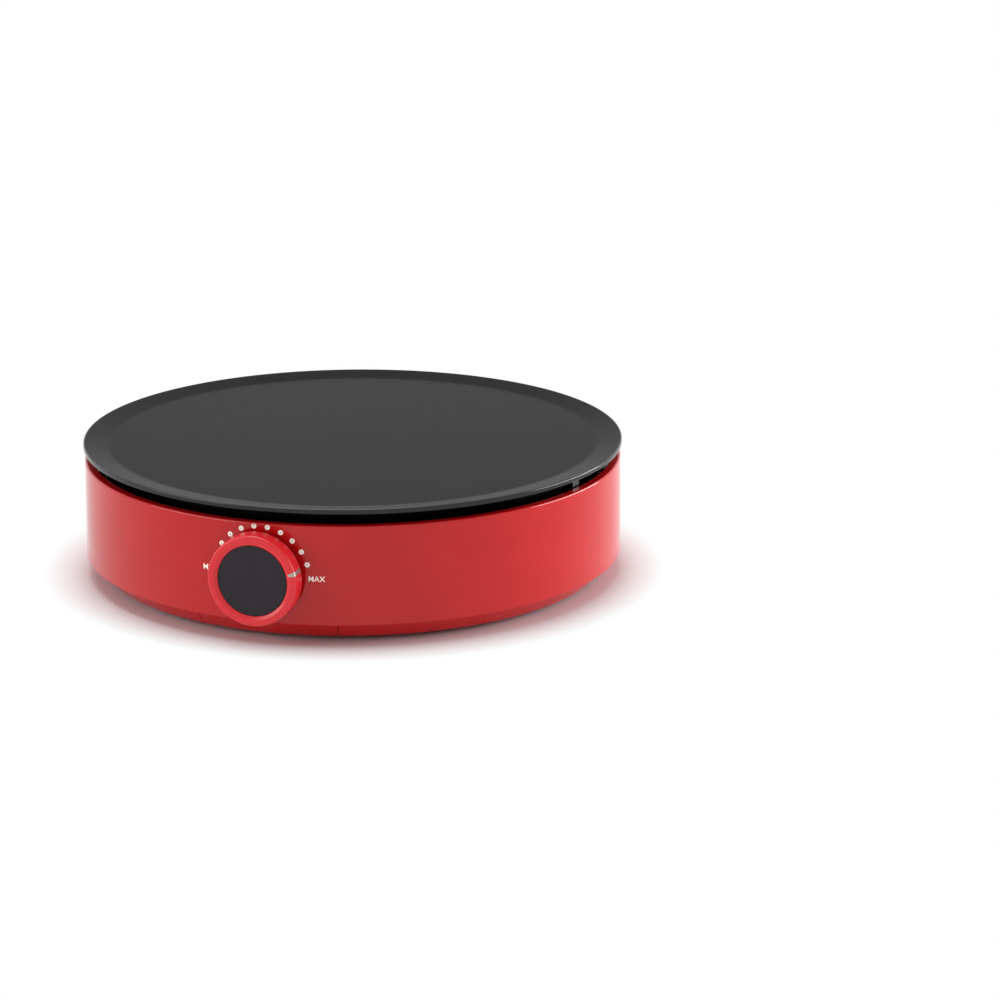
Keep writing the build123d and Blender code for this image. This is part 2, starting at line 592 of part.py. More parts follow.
with BuildPart() as clip_form:
    with BuildSketch(Plane.XZ):
        with BuildLine():
            Polyline(
                (136.5, BRACKET_FOOT), (CLIP_RISER + CLIP_SHEET, BRACKET_FOOT),
                (CLIP_RISER + CLIP_SHEET, CLIP_TOP), (SKIRT_RADIUS + 0.1, CLIP_TOP),
                (SKIRT_RADIUS + 0.1, CLIP_TOP - CLIP_SHEET), (CLIP_RISER, CLIP_TOP - CLIP_SHEET),
                (CLIP_RISER, BRACKET_FOOT + CLIP_SHEET), (136.5, BRACKET_FOOT + CLIP_SHEET),
                close=True,
            )
        make_face()
    extrude(amount=CLIP_WIDTH / 2, both=True)
    with Locations((CLIP_SCREW_CIRCLE, 0, BRACKET_FOOT)):
        Cylinder(SCREW_HOLE, 3, mode=Mode.SUBTRACT)

with BuildPart() as spring_clips:
    with Locations(*around(CLIP_ANGLES)):
        add(clip_form.part)

clip_screw = pan_screw(2.2, 1.5, SCREW_RADIUS, 8)

with BuildPart() as spring_clip_screws:
    with Locations(*around(CLIP_ANGLES, CLIP_SCREW_CIRCLE, BRACKET_FOOT + CLIP_SHEET)):
        add(clip_screw, rotation=(180, 0, 0))

# ---- Thermostat: front plate with a bush, body, diaphragm can, blades and mounting screws ----
BODY_DEPTH = THERMOSTAT_FRONT - THERMOSTAT_BACK
SHAFT_REAR = 134.0
COLLAR_REAR = 139.0
COLLAR_THICKNESS = 1.5
SIDE_GAP = 0.3

with BuildPart() as thermostat_plate:
    with BuildSketch(dial_plane(THERMOSTAT_FRONT)):
        RectangleRounded(THERMOSTAT_WIDTH, THERMOSTAT_HEIGHT, 2)
    extrude(amount=THERMOSTAT_PLATE)
    with BuildSketch(dial_plane(THERMOSTAT_FRONT)):
        Circle(5)
    extrude(amount=9.7)
    with BuildSketch(dial_plane(THERMOSTAT_FRONT)):
        Circle(SHAFT_RADIUS + RUNNING_GAP)
        with Locations((-MOUNTING_SCREW_X, 0), (MOUNTING_SCREW_X, 0)):
            Circle(1.95)
    extrude(amount=12, mode=Mode.SUBTRACT)

with BuildPart() as thermostat_body:
    with BuildSketch(dial_plane(THERMOSTAT_BACK)):
        RectangleRounded(THERMOSTAT_WIDTH, THERMOSTAT_HEIGHT, 2)
    extrude(amount=BODY_DEPTH)
    with BuildSketch(dial_plane(COLLAR_REAR - SIDE_GAP)):
        Circle(6)
    extrude(amount=5, mode=Mode.SUBTRACT)
    with BuildSketch(dial_plane(SHAFT_REAR - SIDE_GAP)):
        Circle(SHAFT_RADIUS + SIDE_GAP)
        with Locations((-MOUNTING_SCREW_X, 0), (MOUNTING_SCREW_X, 0)):
            Circle(1.95)
    extrude(amount=10, mode=Mode.SUBTRACT)

with BuildPart() as thermostat_diaphragm:
    with BuildSketch(Plane.XZ.offset(DIAPHRAGM_BACK)):
        with Locations((0, DIAPHRAGM_HEIGHT)):
            Circle(11)
    extrude(amount=THERMOSTAT_BACK - DIAPHRAGM_BACK)
    chamfer(thermostat_diaphragm.edges().group_by(Axis.Y)[-1], length=1.5)

with BuildPart() as thermostat_blades:
    with BuildSketch(Plane.XZ.offset(BLADE_END)):
        with Locations((-BLADE_X, BLADE_HEIGHT), (BLADE_X, BLADE_HEIGHT)):
            Rectangle(0.8, 6.3)
    extrude(amount=THERMOSTAT_BACK - BLADE_END)

mounting_screw = pan_screw(3.4, 1.6, 1.9, 13.5)

with BuildPart() as thermostat_screws:
    with Locations(*[(x, -HEAD_SEAT, DIAL_HEIGHT) for x in (-MOUNTING_SCREW_X, MOUNTING_SCREW_X)]):
        add(mounting_screw, rotation=(-90, 0, 0))

# ---- Knob group, which turns on the knob's axis: shaft, body, cap, pointer and hub spring ----
FLAT_HEIGHT = 2.0
HUB_FLAT_HEIGHT = 2.7
HUB_BORE = SHAFT_RADIUS + 0.03
HUB_RADIUS = 6.0

with BuildPart() as thermostat_shaft:
    with BuildSketch(dial_plane(SHAFT_REAR)):
        Circle(SHAFT_RADIUS)
    extrude(amount=KNOB_SHAFT_END - SHAFT_REAR)
    with BuildSketch(dial_plane(COLLAR_REAR)):
        Circle(5.5)
    extrude(amount=COLLAR_THICKNESS)
    with BuildSketch(dial_plane(KNOB_BACK - 0.3)):
        with Locations((0, FLAT_HEIGHT)):
            Rectangle(10, 5, align=(Align.CENTER, Align.MIN))
    extrude(amount=10, mode=Mode.SUBTRACT)

knob_profile_plane = Plane(
    origin=(0, 0, DIAL_HEIGHT),
    x_dir=(0, -1, 0),
    z_dir=(-sin(radians(POINTER_ANGLE)), 0, cos(radians(POINTER_ANGLE))),
)
pointer_plane = Plane(
    origin=(0, -KNOB_BACK, DIAL_HEIGHT),
    x_dir=(cos(radians(POINTER_ANGLE)), 0, sin(radians(POINTER_ANGLE))),
    z_dir=(0, -1, 0),
)
knob_axis = Axis((0, 0, DIAL_HEIGHT), (0, -1, 0))

# The profile plane's x runs outwards along the knob's axis, and its y along the pointer.
with BuildPart() as knob_pointer:
    with BuildSketch(knob_profile_plane) as pointer_section:
        with BuildLine():
            Polyline(
                (KNOB_BACK + 0.6, KNOB_RADIUS - 0.6), (KNOB_BACK + 0.6, KNOB_RADIUS + POINTER_PROUD),
                (KNOB_FACE + POINTER_PROUD, KNOB_RADIUS + POINTER_PROUD),
                (KNOB_FACE + POINTER_PROUD, 21.2), (KNOB_FACE - 0.5, 21.2),
                (KNOB_FACE - 0.5, KNOB_RADIUS - 0.6),
                close=True,
            )
        make_face()
        fillet(nearest_vertex(pointer_section, (KNOB_FACE, KNOB_RADIUS)), radius=1.45)
        fillet(nearest_vertex(pointer_section, (KNOB_FACE - 0.5, KNOB_RADIUS - 0.6)), radius=0.8)
    extrude(amount=POINTER_WIDTH / 2, both=True)
    with BuildSketch(pointer_plane):
        with BuildLine():
            Polyline(
                (21.0, -POINTER_TIP_WIDTH / 2), (KNOB_RADIUS - 0.8, -POINTER_WIDTH / 2),
                (27.0, -POINTER_WIDTH / 2), (27.0, POINTER_WIDTH / 2),
                (KNOB_RADIUS - 0.8, POINTER_WIDTH / 2), (21.0, POINTER_TIP_WIDTH / 2),
                close=True,
            )
        make_face()
    extrude(amount=12, mode=Mode.INTERSECT)

with BuildPart() as knob_body:
    with BuildSketch(knob_profile_plane) as knob_section:
        with BuildLine():
            Polyline(
                (KNOB_BACK, KNOB_RADIUS), (KNOB_FACE, KNOB_RADIUS), (KNOB_FACE, 21.4),
                (KNOB_FACE - 1.1, CAP_RADIUS + 0.2), (CAP_FLOOR, CAP_RADIUS + 0.05), (CAP_FLOOR, 0),
                (CAP_FLOOR - KNOB_WALL, 0), (CAP_FLOOR - KNOB_WALL, KNOB_RADIUS - KNOB_WALL),
                (KNOB_BACK, KNOB_RADIUS - KNOB_WALL),
                close=True,
            )
        make_face()
        fillet(nearest_vertex(knob_section, (KNOB_FACE, KNOB_RADIUS)), radius=1.3)
    revolve(axis=knob_axis)
    with BuildSketch(dial_plane(KNOB_BACK)):
        Circle(HUB_RADIUS)
    extrude(amount=CAP_FLOOR - KNOB_WALL - KNOB_BACK + 0.5)
    with BuildSketch(dial_plane(KNOB_BACK)):
        Circle(HUB_BORE)
        with Locations((0, HUB_FLAT_HEIGHT)):
            Rectangle(10, 5, align=(Align.CENTER, Align.MIN), mode=Mode.SUBTRACT)
    extrude(amount=KNOB_SHAFT_END - KNOB_BACK + 0.2, mode=Mode.SUBTRACT)
    add(knob_pointer.part, mode=Mode.SUBTRACT)

with BuildPart() as knob_cap:
    with BuildSketch(dial_plane(CAP_FLOOR)):
        Circle(CAP_RADIUS)
    extrude(amount=CAP_THICKNESS)
    chamfer(knob_cap.edges().group_by(Axis.Y)[0], length=0.25)

with BuildPart() as knob_spring:
    with BuildSketch(dial_plane(KNOB_BACK + 0.5)):
        with Locations((0, FLAT_HEIGHT + 0.1)):
            Rectangle(3.0, 0.5, align=(Align.CENTER, Align.MIN))
    extrude(amount=4.5)

# ---- Capillary tube from the diaphragm to the bulb ----
capillary_tube = tube(
    [
        (0, -DIAPHRAGM_BACK, DIAPHRAGM_HEIGHT),
        (0, -100, DIAPHRAGM_HEIGHT),
        (30, -84, 41),
        (52, -68, 44),
        (52, -61, 60),
        (44, BULB_Y, BULB_HEIGHT),
        (BULB_HALF_LENGTH, BULB_Y, BULB_HEIGHT),
    ],
    CAPILLARY_RADIUS,
    5,
)

# ---- Terminal block with its screws ----
BLOCK_BOTTOM = FLOOR_TOP + 4
COUNTERBORE_FLOOR = 21.0
POLE_HEIGHT = 16.0
BLOCK_SIZE = (34.0, 16.0, BLOCK_TOP - BLOCK_BOTTOM)

with BuildPart() as terminal_block:
    with Locations((0, BLOCK_Y, BLOCK_BOTTOM)):
        Box(*BLOCK_SIZE, align=UPRIGHT)
    with Locations(*[(x, BLOCK_Y, BLOCK_BOTTOM) for x in (-BLOCK_SCREW_X, BLOCK_SCREW_X)]):
        Cylinder(SCREW_HOLE, 20, align=UPRIGHT, mode=Mode.SUBTRACT)
    with Locations(*[(x, BLOCK_Y, COUNTERBORE_FLOOR) for x in (-BLOCK_SCREW_X, BLOCK_SCREW_X)]):
        Cylinder(2.6, 10, align=UPRIGHT, mode=Mode.SUBTRACT)
    with Locations(*[(x, BLOCK_Y, BLOCK_TOP) for x in (-POLE_X, 0, POLE_X)]):
        Cylinder(1.95, 6, align=HANGING, mode=Mode.SUBTRACT)

block_screw = pan_screw(2.4, 1.8, SCREW_RADIUS, 15)
pole_screw = pan_screw(1.9, 1.4, 1.2, 3.5)

with BuildPart() as terminal_block_screws:
    with Locations(*[(x, BLOCK_Y, COUNTERBORE_FLOOR) for x in (-BLOCK_SCREW_X, BLOCK_SCREW_X)]):
        add(block_screw, rotation=(180, 0, 0))

with BuildPart() as terminal_screws:
    with Locations(*[(x, BLOCK_Y, BLOCK_TOP - 1.5) for x in (-POLE_X, 0, POLE_X)]):
        add(pole_screw, rotation=(180, 0, 0))

# ---- Internal leads ----
BLOCK_FRONT = BLOCK_Y - BLOCK_SIZE[1] / 2
EARTH_SCREW_HEAD = 2.0

lead_line = tube(
    [
        (-POLE_X, BLOCK_FRONT, POLE_HEIGHT), (-POLE_X, 72, POLE_HEIGHT), (-45, 52, 15), (-62, 2, 15),
        (-50, -58, 18), (-BLADE_X, -96, BLADE_HEIGHT), (-BLADE_X, -BLADE_END, BLADE_HEIGHT),
    ],
    LEAD_RADIUS,
    8,
)
lead_neutral = tube(
    [
        (POLE_X, BLOCK_FRONT, POLE_HEIGHT), (POLE_X, 73, POLE_HEIGHT), (LEG_X, 73, 27),
        (LEG_X, LEG_Y, 27), (LEG_X, LEG_Y, PIN_BOTTOM),
    ],
    LEAD_RADIUS,
    5,
)
lead_earth = tube(
    [
        (0, BLOCK_FRONT, POLE_HEIGHT), (0, 74, POLE_HEIGHT), (0, EARTH_HOLE[1], 27),
        (0, EARTH_HOLE[1], SHIELD_FLOOR - EARTH_SCREW_HEAD),
    ],
    LEAD_RADIUS,
    6,
)
lead_switched = tube(
    [
        (BLADE_X, -BLADE_END, BLADE_HEIGHT), (BLADE_X, -96, BLADE_HEIGHT), (48, -60, 20), (58, 0, 20),
        (*FUSE_IN_HOLE, 30), (*FUSE_IN_HOLE, 58), (30, FUSE_Y, FUSE_HEIGHT),
        (FUSE_LEAD_END, FUSE_Y, FUSE_HEIGHT),
    ],
    LEAD_RADIUS,
    6,
)
lead_element = tube(
    [
        (-FUSE_LEAD_END, FUSE_Y, FUSE_HEIGHT), (-30, FUSE_Y, FUSE_HEIGHT), (-30, 54, 57), (-30, 60, 40),
        (-LEG_X, 73, 27), (-LEG_X, LEG_Y, 27), (-LEG_X, LEG_Y, PIN_BOTTOM),
    ],
    LEAD_RADIUS,
    5,
)

with BuildPart() as earth_nut_form:
    with BuildSketch():
        RegularPolygon(3.2, 6)
        Circle(SCREW_HOLE, mode=Mode.SUBTRACT)
    extrude(amount=2.4)

earth_screw_form = pan_screw(3.0, EARTH_SCREW_HEAD, SCREW_RADIUS, 4.5)

with BuildPart() as earth_screw:
    with Locations((*EARTH_HOLE, SHIELD_FLOOR)):
        add(earth_screw_form)
    with Locations((*EARTH_HOLE, SHIELD_FLOOR + SHIELD_SHEET)):
        add(earth_nut_form.part)

# ---- Cord bush in the rear wall, and the cord clamp behind it ----
BUSH_OUTER_FACE = 154.9
BUSH_SHOULDER = 152.4
BUSH_GROOVE = 148.8
BUSH_INNER_FACE = 146.4

with BuildPart() as cord_bush:
    with BuildSketch(Plane(origin=(0, 0, INLET_HEIGHT), x_dir=(0, 1, 0), z_dir=(1, 0, 0))):
        with BuildLine():
            Polyline(
                (BUSH_INNER_FACE, CORD_BORE), (BUSH_INNER_FACE, 9.0), (BUSH_GROOVE, 9.0),
                (BUSH_GROOVE, 5.5), (BUSH_SHOULDER, 5.5), (BUSH_SHOULDER, 9.5),
                (BUSH_OUTER_FACE - 0.8, 9.5), (BUSH_OUTER_FACE, 8.7), (BUSH_OUTER_FACE, CORD_BORE),
                close=True,
            )
        make_face()
    revolve(axis=Axis((0, 0, INLET_HEIGHT), (0, 1, 0)))
    with BuildSketch(Plane(origin=(0, BUSH_GROOVE, INLET_HEIGHT), x_dir=(-1, 0, 0), z_dir=(0, 1, 0))):
        RectangleRounded(2 * INLET_HALF - 0.1, 2 * INLET_HALF - 0.1, 1.45)
        Circle(5.0, mode=Mode.SUBTRACT)
    extrude(amount=BUSH_SHOULDER - BUSH_GROOVE)

with BuildPart() as cord_clamp:
    with Locations((0, CLAMP_Y, INLET_HEIGHT + 0.4)):
        Box(28, 9, 5, align=UPRIGHT)
    with Locations(Location((0, CLAMP_Y, INLET_HEIGHT), (90, 0, 0))):
        Cylinder(CORD_BORE, 20, mode=Mode.SUBTRACT)
    with Locations(*[(x, CLAMP_Y, INLET_HEIGHT) for x in (-CLAMP_SCREW_X, CLAMP_SCREW_X)]):
        Cylinder(SCREW_HOLE, 10, align=UPRIGHT, mode=Mode.SUBTRACT)

clamp_screw = pan_screw(3.0, 2.0, SCREW_RADIUS, 15)

with BuildPart() as cord_clamp_screws:
    with Locations(*[(x, CLAMP_Y, INLET_HEIGHT + 5.4) for x in (-CLAMP_SCREW_X, CLAMP_SCREW_X)]):
        add(clamp_screw, rotation=(180, 0, 0))

# ---- Labels and STEP files ----
PIECES = {
    "housing": housing,
    "base_pan": base_pan,
    "rubber_feet": rubber_feet,
    "foot_screws": foot_screws,
    "base_screws": base_screws,
    "cooking_plate": cooking_plate,
    "heating_element": heating_element,
    "element_insulators": element_insulators,
    "element_pins": element_pins,
    "element_straps": element_straps,
    "element_strap_screws": element_strap_screws,
    "sensor_bulb": sensor_bulb,
    "bulb_strap": bulb_strap,
    "bulb_strap_screws": bulb_strap_screws,
    "thermal_fuse": thermal_fuse,
    "fuse_strap": fuse_strap,
    "fuse_strap_screws": fuse_strap_screws,
    "heat_shield": heat_shield,
    "plate_brackets": plate_brackets,
    "plate_screws": plate_screws,
    "bracket_screws": bracket_screws,
    "spring_clips": spring_clips,
    "spring_clip_screws": spring_clip_screws,
    "thermostat_plate": thermostat_plate,
    "thermostat_body": thermostat_body,
    "thermostat_diaphragm": thermostat_diaphragm,
    "thermostat_blades": thermostat_blades,
    "thermostat_screws": thermostat_screws,
    "thermostat_shaft": thermostat_shaft,
    "knob_body": knob_body,
    "knob_cap": knob_cap,
    "knob_pointer": knob_pointer,
    "knob_spring": knob_spring,
    "capillary_tube": capillary_tube,
    "terminal_block": terminal_block,
    "terminal_block_screws": terminal_block_screws,
    "terminal_screws": terminal_screws,
    "lead_line": lead_line,
    "lead_neutral": lead_neutral,
    "lead_earth": lead_earth,
    "lead_switched": lead_switched,
    "lead_element": lead_element,
    "earth_screw": earth_screw,
    "cord_bush": cord_bush,
    "cord_clamp": cord_clamp,
    "cord_clamp_screws": cord_clamp_screws,
}

os.makedirs("parts", exist_ok=True)
for name, piece in PIECES.items():
    piece.part.label = name
    export_step(piece.part, f"parts/{name}.step")
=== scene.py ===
from math import atan2, cos, hypot, radians, sin

import bpy
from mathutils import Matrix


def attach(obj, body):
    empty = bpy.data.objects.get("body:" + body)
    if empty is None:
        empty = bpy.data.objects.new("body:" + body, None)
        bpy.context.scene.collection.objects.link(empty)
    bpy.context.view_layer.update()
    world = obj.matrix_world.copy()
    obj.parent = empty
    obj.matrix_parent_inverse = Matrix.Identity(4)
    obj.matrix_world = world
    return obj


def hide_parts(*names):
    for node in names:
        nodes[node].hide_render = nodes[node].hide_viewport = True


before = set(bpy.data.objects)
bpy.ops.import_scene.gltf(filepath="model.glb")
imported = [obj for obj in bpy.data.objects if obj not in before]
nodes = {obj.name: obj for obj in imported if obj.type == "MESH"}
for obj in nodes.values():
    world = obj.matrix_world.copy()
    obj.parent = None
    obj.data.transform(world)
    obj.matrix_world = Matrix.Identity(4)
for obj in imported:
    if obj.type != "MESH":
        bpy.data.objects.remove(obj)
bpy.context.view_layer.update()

# ---- Housing -------------------------------------------------------------------------------
# The red ring under the plate. Injection-moulded glossy ABS: a slightly tapering wall, a flat
# lip and a ledge come out of the mould in one shot, with a tongue at the front that closes the
# notch in the base pan, posts for the screws and a frame that the thermostat is screwed to.

MM = 0.001
MERGE_DISTANCE = 1e-6
SMOOTH_ANGLE = 35


def select_only(*pieces):
    """Leaves only these pieces selected, the first one active."""
    bpy.ops.object.select_all(action="DESELECT")
    for piece in pieces:
        piece.select_set(True)
    bpy.context.view_layer.objects.active = pieces[0]


def settle(piece):
    """Puts a piece's place, turn and size into its mesh, so that its object stands at the origin."""
    select_only(piece)
    bpy.ops.object.transform_apply(location=True, rotation=True, scale=True)
    return piece


def drawn_outline(name, points):
    """An outline drawn vertex by vertex through points in millimetres, left open in edit mode."""
    bpy.ops.object.select_all(action="DESELECT")
    bpy.ops.mesh.primitive_plane_add(size=MM, location=[c * MM for c in points[0]])
    piece = settle(bpy.context.object)
    piece.name = piece.data.name = name
    bpy.context.tool_settings.mesh_select_mode = (True, False, False)
    bpy.ops.object.mode_set(mode="EDIT")
    bpy.ops.mesh.select_all(action="SELECT")
    bpy.ops.mesh.merge(type="CENTER")
    for here, there in zip(points, points[1:] + points[:1]):
        step = [(b - a) * MM for a, b in zip(here, there)]
        bpy.ops.mesh.extrude_region_move(TRANSFORM_OT_translate={"value": step})
    bpy.ops.mesh.select_all(action="SELECT")
    bpy.ops.mesh.remove_doubles(threshold=MERGE_DISTANCE)
    return piece


def turned(name, points, steps, sweep=360.0, centre=(0, 0, 0), axis=(0, 0, 1)):
    """A closed outline turned about an axis, as on a lathe. A part turn is closed at both ends."""
    piece = drawn_outline(name, points)
    bpy.ops.mesh.spin(
        steps=steps, angle=radians(sweep), center=[c * MM for c in centre], axis=axis
    )
    bpy.ops.mesh.select_all(action="SELECT")
    bpy.ops.mesh.remove_doubles(threshold=MERGE_DISTANCE)
    bpy.ops.mesh.delete_loose()
    bpy.ops.mesh.select_all(action="SELECT")
    bpy.ops.mesh.fill_holes(sides=0)
    bpy.ops.mesh.normals_make_consistent(inside=False)
    bpy.ops.object.mode_set(mode="OBJECT")
    return piece


def slab(name, points, thickness):
    """A closed flat outline given a thickness, as a vector in millimetres."""
    piece = drawn_outline(name, points)
    bpy.ops.mesh.edge_face_add()
    bpy.ops.mesh.extrude_region_move(TRANSFORM_OT_translate={"value": [t * MM for t in thickness]})
    bpy.ops.mesh.select_all(action="SELECT")
    bpy.ops.mesh.normals_make_consistent(inside=False)
    bpy.ops.object.mode_set(mode="OBJECT")
    return piece


def ring_points(outline):
    """Points of a section through the plate's axis, given as (radius, height), at the front."""
    return [(0, -radius, height) for radius, height in outline]


def swung(piece, angle):
    """Turns a piece about the plate's axis, by this many degrees from the front towards the right."""
    select_only(piece)
    bpy.ops.transform.rotate(value=radians(-angle), orient_axis="Z", center_override=(0, 0, 0))
    return settle(piece)


def copies_around(piece, angles):
    """One copy of a piece for each angle, each with its own mesh. The original goes."""
    copies = []
    for angle in angles:
        select_only(piece)
        bpy.ops.object.duplicate(linked=False)
        copies.append(swung(bpy.context.object, angle))
    bpy.data.objects.remove(piece)
    return copies


def post(radius, bottom, top, place, sides=32):
    """An upright cylinder at a place (x, y), between two heights."""
    bpy.ops.object.select_all(action="DESELECT")
    bpy.ops.mesh.primitive_cylinder_add(
        vertices=sides, radius=radius * MM, depth=(top - bottom) * MM,
        location=(place[0] * MM, place[1] * MM, (bottom + top) / 2 * MM),
    )
    return settle(bpy.context.object)


def peg(radius, back, front, x, height, sides=48):
    """A cylinder along Y, between two distances in front of the plate's axis."""
    bpy.ops.object.select_all(action="DESELECT")
    bpy.ops.mesh.primitive_cylinder_add(
        vertices=sides, radius=radius * MM, depth=(front - back) * MM,
        location=(x * MM, -(back + front) / 2 * MM, height * MM), rotation=(radians(90), 0, 0),
    )
    return settle(bpy.context.object)


def block(low, high):
    """A box between two corners."""
    bpy.ops.object.select_all(action="DESELECT")
    bpy.ops.mesh.primitive_cube_add(
        size=1, location=[(a + b) / 2 * MM for a, b in zip(low, high)],
        scale=[(b - a) * MM for a, b in zip(low, high)],
    )
    return settle(bpy.context.object)


def boolean(piece, tools, operation):
    """Adds solids to a piece or cuts them out of it. The tools are used up."""
    for tool in tools:
        modifier = piece.modifiers.new("Boolean", "BOOLEAN")
        modifier.operation = operation
        modifier.solver = "EXACT"
        modifier.object = tool
        select_only(piece)
        bpy.ops.object.modifier_apply(modifier=modifier.name)
        bpy.data.objects.remove(tool)
    return piece


def joined(pieces):
    """Several pieces as one."""
    select_only(*pieces)
    bpy.ops.object.join()
    return bpy.context.object


def rounded(piece, chosen, width, segments):
    """Rounds the edges whose two ends both pass a test, by this many millimetres."""
    mesh = piece.data
    select_only(piece)
    for part in (*mesh.vertices, *mesh.polygons):
        part.select = False
    for edge in mesh.edges:
        edge.select = all(chosen(mesh.vertices[i].co) for i in edge.vertices)
    bpy.context.tool_settings.mesh_select_mode = (False, True, False)
    bpy.ops.object.mode_set(mode="EDIT")
    bpy.ops.mesh.bevel(
        offset=width * MM, offset_type="OFFSET", segments=segments, profile=0.5, affect="EDGES"
    )
    bpy.ops.object.mode_set(mode="OBJECT")
    return piece


def at_ring(radius, height):
    """A test for vertices on one circle about the plate's axis."""
    return lambda co: (
        abs(hypot(co.x, co.y) - radius * MM) < 0.04 * MM and abs(co.z - height * MM) < 0.04 * MM
    )


def softened(piece, width, angle, segments):
    """Breaks every remaining sharp edge a little, as a moulded or cast piece has it."""
    modifier = piece.modifiers.new("Edges", "BEVEL")
    modifier.width = width * MM
    modifier.segments = segments
    modifier.limit_method = "ANGLE"
    modifier.angle_limit = radians(angle)
    modifier.use_clamp_overlap = True
    select_only(piece)
    bpy.ops.object.modifier_apply(modifier=modifier.name)
    return piece


def finished(piece, material, body, slot, *replaced):
    """Smooth shading with crisp corners, the material, and the piece's place in the assembly."""
    select_only(piece)
    bpy.ops.object.mode_set(mode="EDIT")
    bpy.ops.mesh.select_all(action="SELECT")
    bpy.ops.mesh.remove_doubles(threshold=MERGE_DISTANCE)
    bpy.ops.object.mode_set(mode="OBJECT")
    bpy.ops.object.shade_smooth_by_angle(angle=radians(SMOOTH_ANGLE))
    modifier = piece.modifiers.new("Normals", "WEIGHTED_NORMAL")
    modifier.keep_sharp = True
    modifier.weight = 50
    bpy.ops.object.modifier_apply(modifier=modifier.name)
    piece.data.materials.clear()
    piece.data.materials.append(material)
    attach(piece, body)
    if replaced:
        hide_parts(*replaced)
    return piece


NOISE_ROUGHNESS = 0.55


class Finish:
    """A material under construction: a Principled shader with nodes that read the piece's place."""

    def __init__(self, name, metallic=0.0, **constants):
        self.material = bpy.data.materials.new(name)
        self.material.use_nodes = True
        self.tree = self.material.node_tree
        self.shader = self.tree.nodes["Principled BSDF"]
        self.shader.inputs["Metallic"].default_value = metallic
        for socket, value in constants.items():
            self.shader.inputs[socket.replace("_", " ")].default_value = value
        self.place = self.tree.nodes.new("ShaderNodeTexCoord").outputs["Object"]

    def node(self, kind, **settings):
        made = self.tree.nodes.new("ShaderNode" + kind)
        for key, value in settings.items():
            setattr(made, key, value)
        return made

    def link(self, source, target):
        self.tree.links.new(source, target)

    def mapped(self, scale=(1, 1, 1), turn=(0, 0, 0)):
        """The piece's place, turned and stretched."""
        mapping = self.node("Mapping")
        mapping.inputs["Rotation"].default_value = [radians(t) for t in turn]
        mapping.inputs["Scale"].default_value = scale
        self.link(self.place, mapping.inputs["Vector"])
        return mapping.outputs["Vector"]

    def noise(self, size_mm, detail=3.0, source=None):
        """Noise whose lumps are about this many millimetres across."""
        made = self.node("TexNoise")
        made.inputs["Scale"].default_value = 1 / (size_mm * MM)
        made.inputs["Detail"].default_value = detail
        made.inputs["Roughness"].default_value = NOISE_ROUGHNESS
        self.link(source or self.place, made.inputs["Vector"])
        return made.outputs["Fac"]

    def cells(self, size_mm):
        """The distance to the nearest of many scattered points, about this many millimetres apart."""
        made = self.node("TexVoronoi", feature="F1")
        made.inputs["Scale"].default_value = 1 / (size_mm * MM)
        self.link(self.place, made.inputs["Vector"])
        return made.outputs["Distance"]

    def length(self, vector):
        """A vector's length in metres."""
        made = self.node("VectorMath", operation="LENGTH")
        self.link(vector, made.inputs[0])
        return made.outputs["Value"]

    def both(self, first, second):
        """A factor that is high only where two others are."""
        made = self.node("Math", operation="MULTIPLY")
        self.link(first, made.inputs[0])
        self.link(second, made.inputs[1])
        return made.outputs[0]

    def between(self, source, low, high, start=0.0, end=1.0):
        """The source's range from start to end, spread from low to high."""
        made = self.node("MapRange")
        for socket, value in zip(
            ("From Min", "From Max", "To Min", "To Max"), (start, end, low, high)
        ):
            made.inputs[socket].default_value = value
        self.link(source, made.inputs["Value"])
        return made.outputs["Result"]

    def ramp(self, source, stops):
        """The source's range coloured through stops, each (position, colour)."""
        made = self.node("ValToRGB")
        elements = made.color_ramp.elements
        while len(elements) < len(stops):
            elements.new(0.5)
        for element, (position, colour) in zip(elements, stops):
            element.position = position
            element.color = (*colour, 1)
        self.link(source, made.inputs["Fac"])
        return made.outputs["Color"]

    def blended(self, factor, first, second):
        """Mixes two colours or sockets by a factor, or by a socket."""
        made = self.node("Mix", data_type="RGBA")
        for socket, value in (("Factor", factor), ("A", first), ("B", second)):
            target = next(
                s for s in made.inputs
                if s.name == socket and s.type == ("VALUE" if socket == "Factor" else "RGBA")
            )
            if isinstance(value, bpy.types.NodeSocket):
                self.link(value, target)
            else:
                target.default_value = value if socket == "Factor" else (*value, 1)
        return next(s for s in made.outputs if s.type == "RGBA")

    def colour(self, source):
        self.link(source, self.shader.inputs["Base Color"])

    def rough(self, source):
        self.link(source, self.shader.inputs["Roughness"])

    def bump(self, *layers):
        """Bump layers, each (source, height in millimetres), one over the other."""
        normal = None
        for source, height in layers:
            made = self.node("Bump")
            made.inputs["Strength"].default_value = 1.0
            made.inputs["Distance"].default_value = height * MM
            self.link(source, made.inputs["Height"])
            if normal:
                self.link(normal, made.inputs["Normal"])
            normal = made.outputs["Normal"]
        self.link(normal, self.shader.inputs["Normal"])


def gloss_red(name, dark, light, low=0.06, high=0.11):
    """Glossy red ABS: deep colour with a faint cloudiness, and the soft ripple of a polished mould."""
    finish = Finish(name, IOR=1.5, Specular_IOR_Level=0.39)
    speck = finish.noise(0.9, 2.0)
    red = finish.ramp(finish.noise(45, 2.0), [(0.35, dark), (0.65, light)])
    deep = [c * 0.85 for c in dark]
    finish.colour(finish.blended(finish.between(speck, 0.0, 0.25, 0.45, 0.75), red, deep))
    finish.rough(finish.between(finish.noise(16, 3.0), low, high, 0.3, 0.7))
    finish.bump((finish.noise(9, 1.5), 0.010), (finish.noise(1.6, 2.0), 0.0012))
    return finish.material


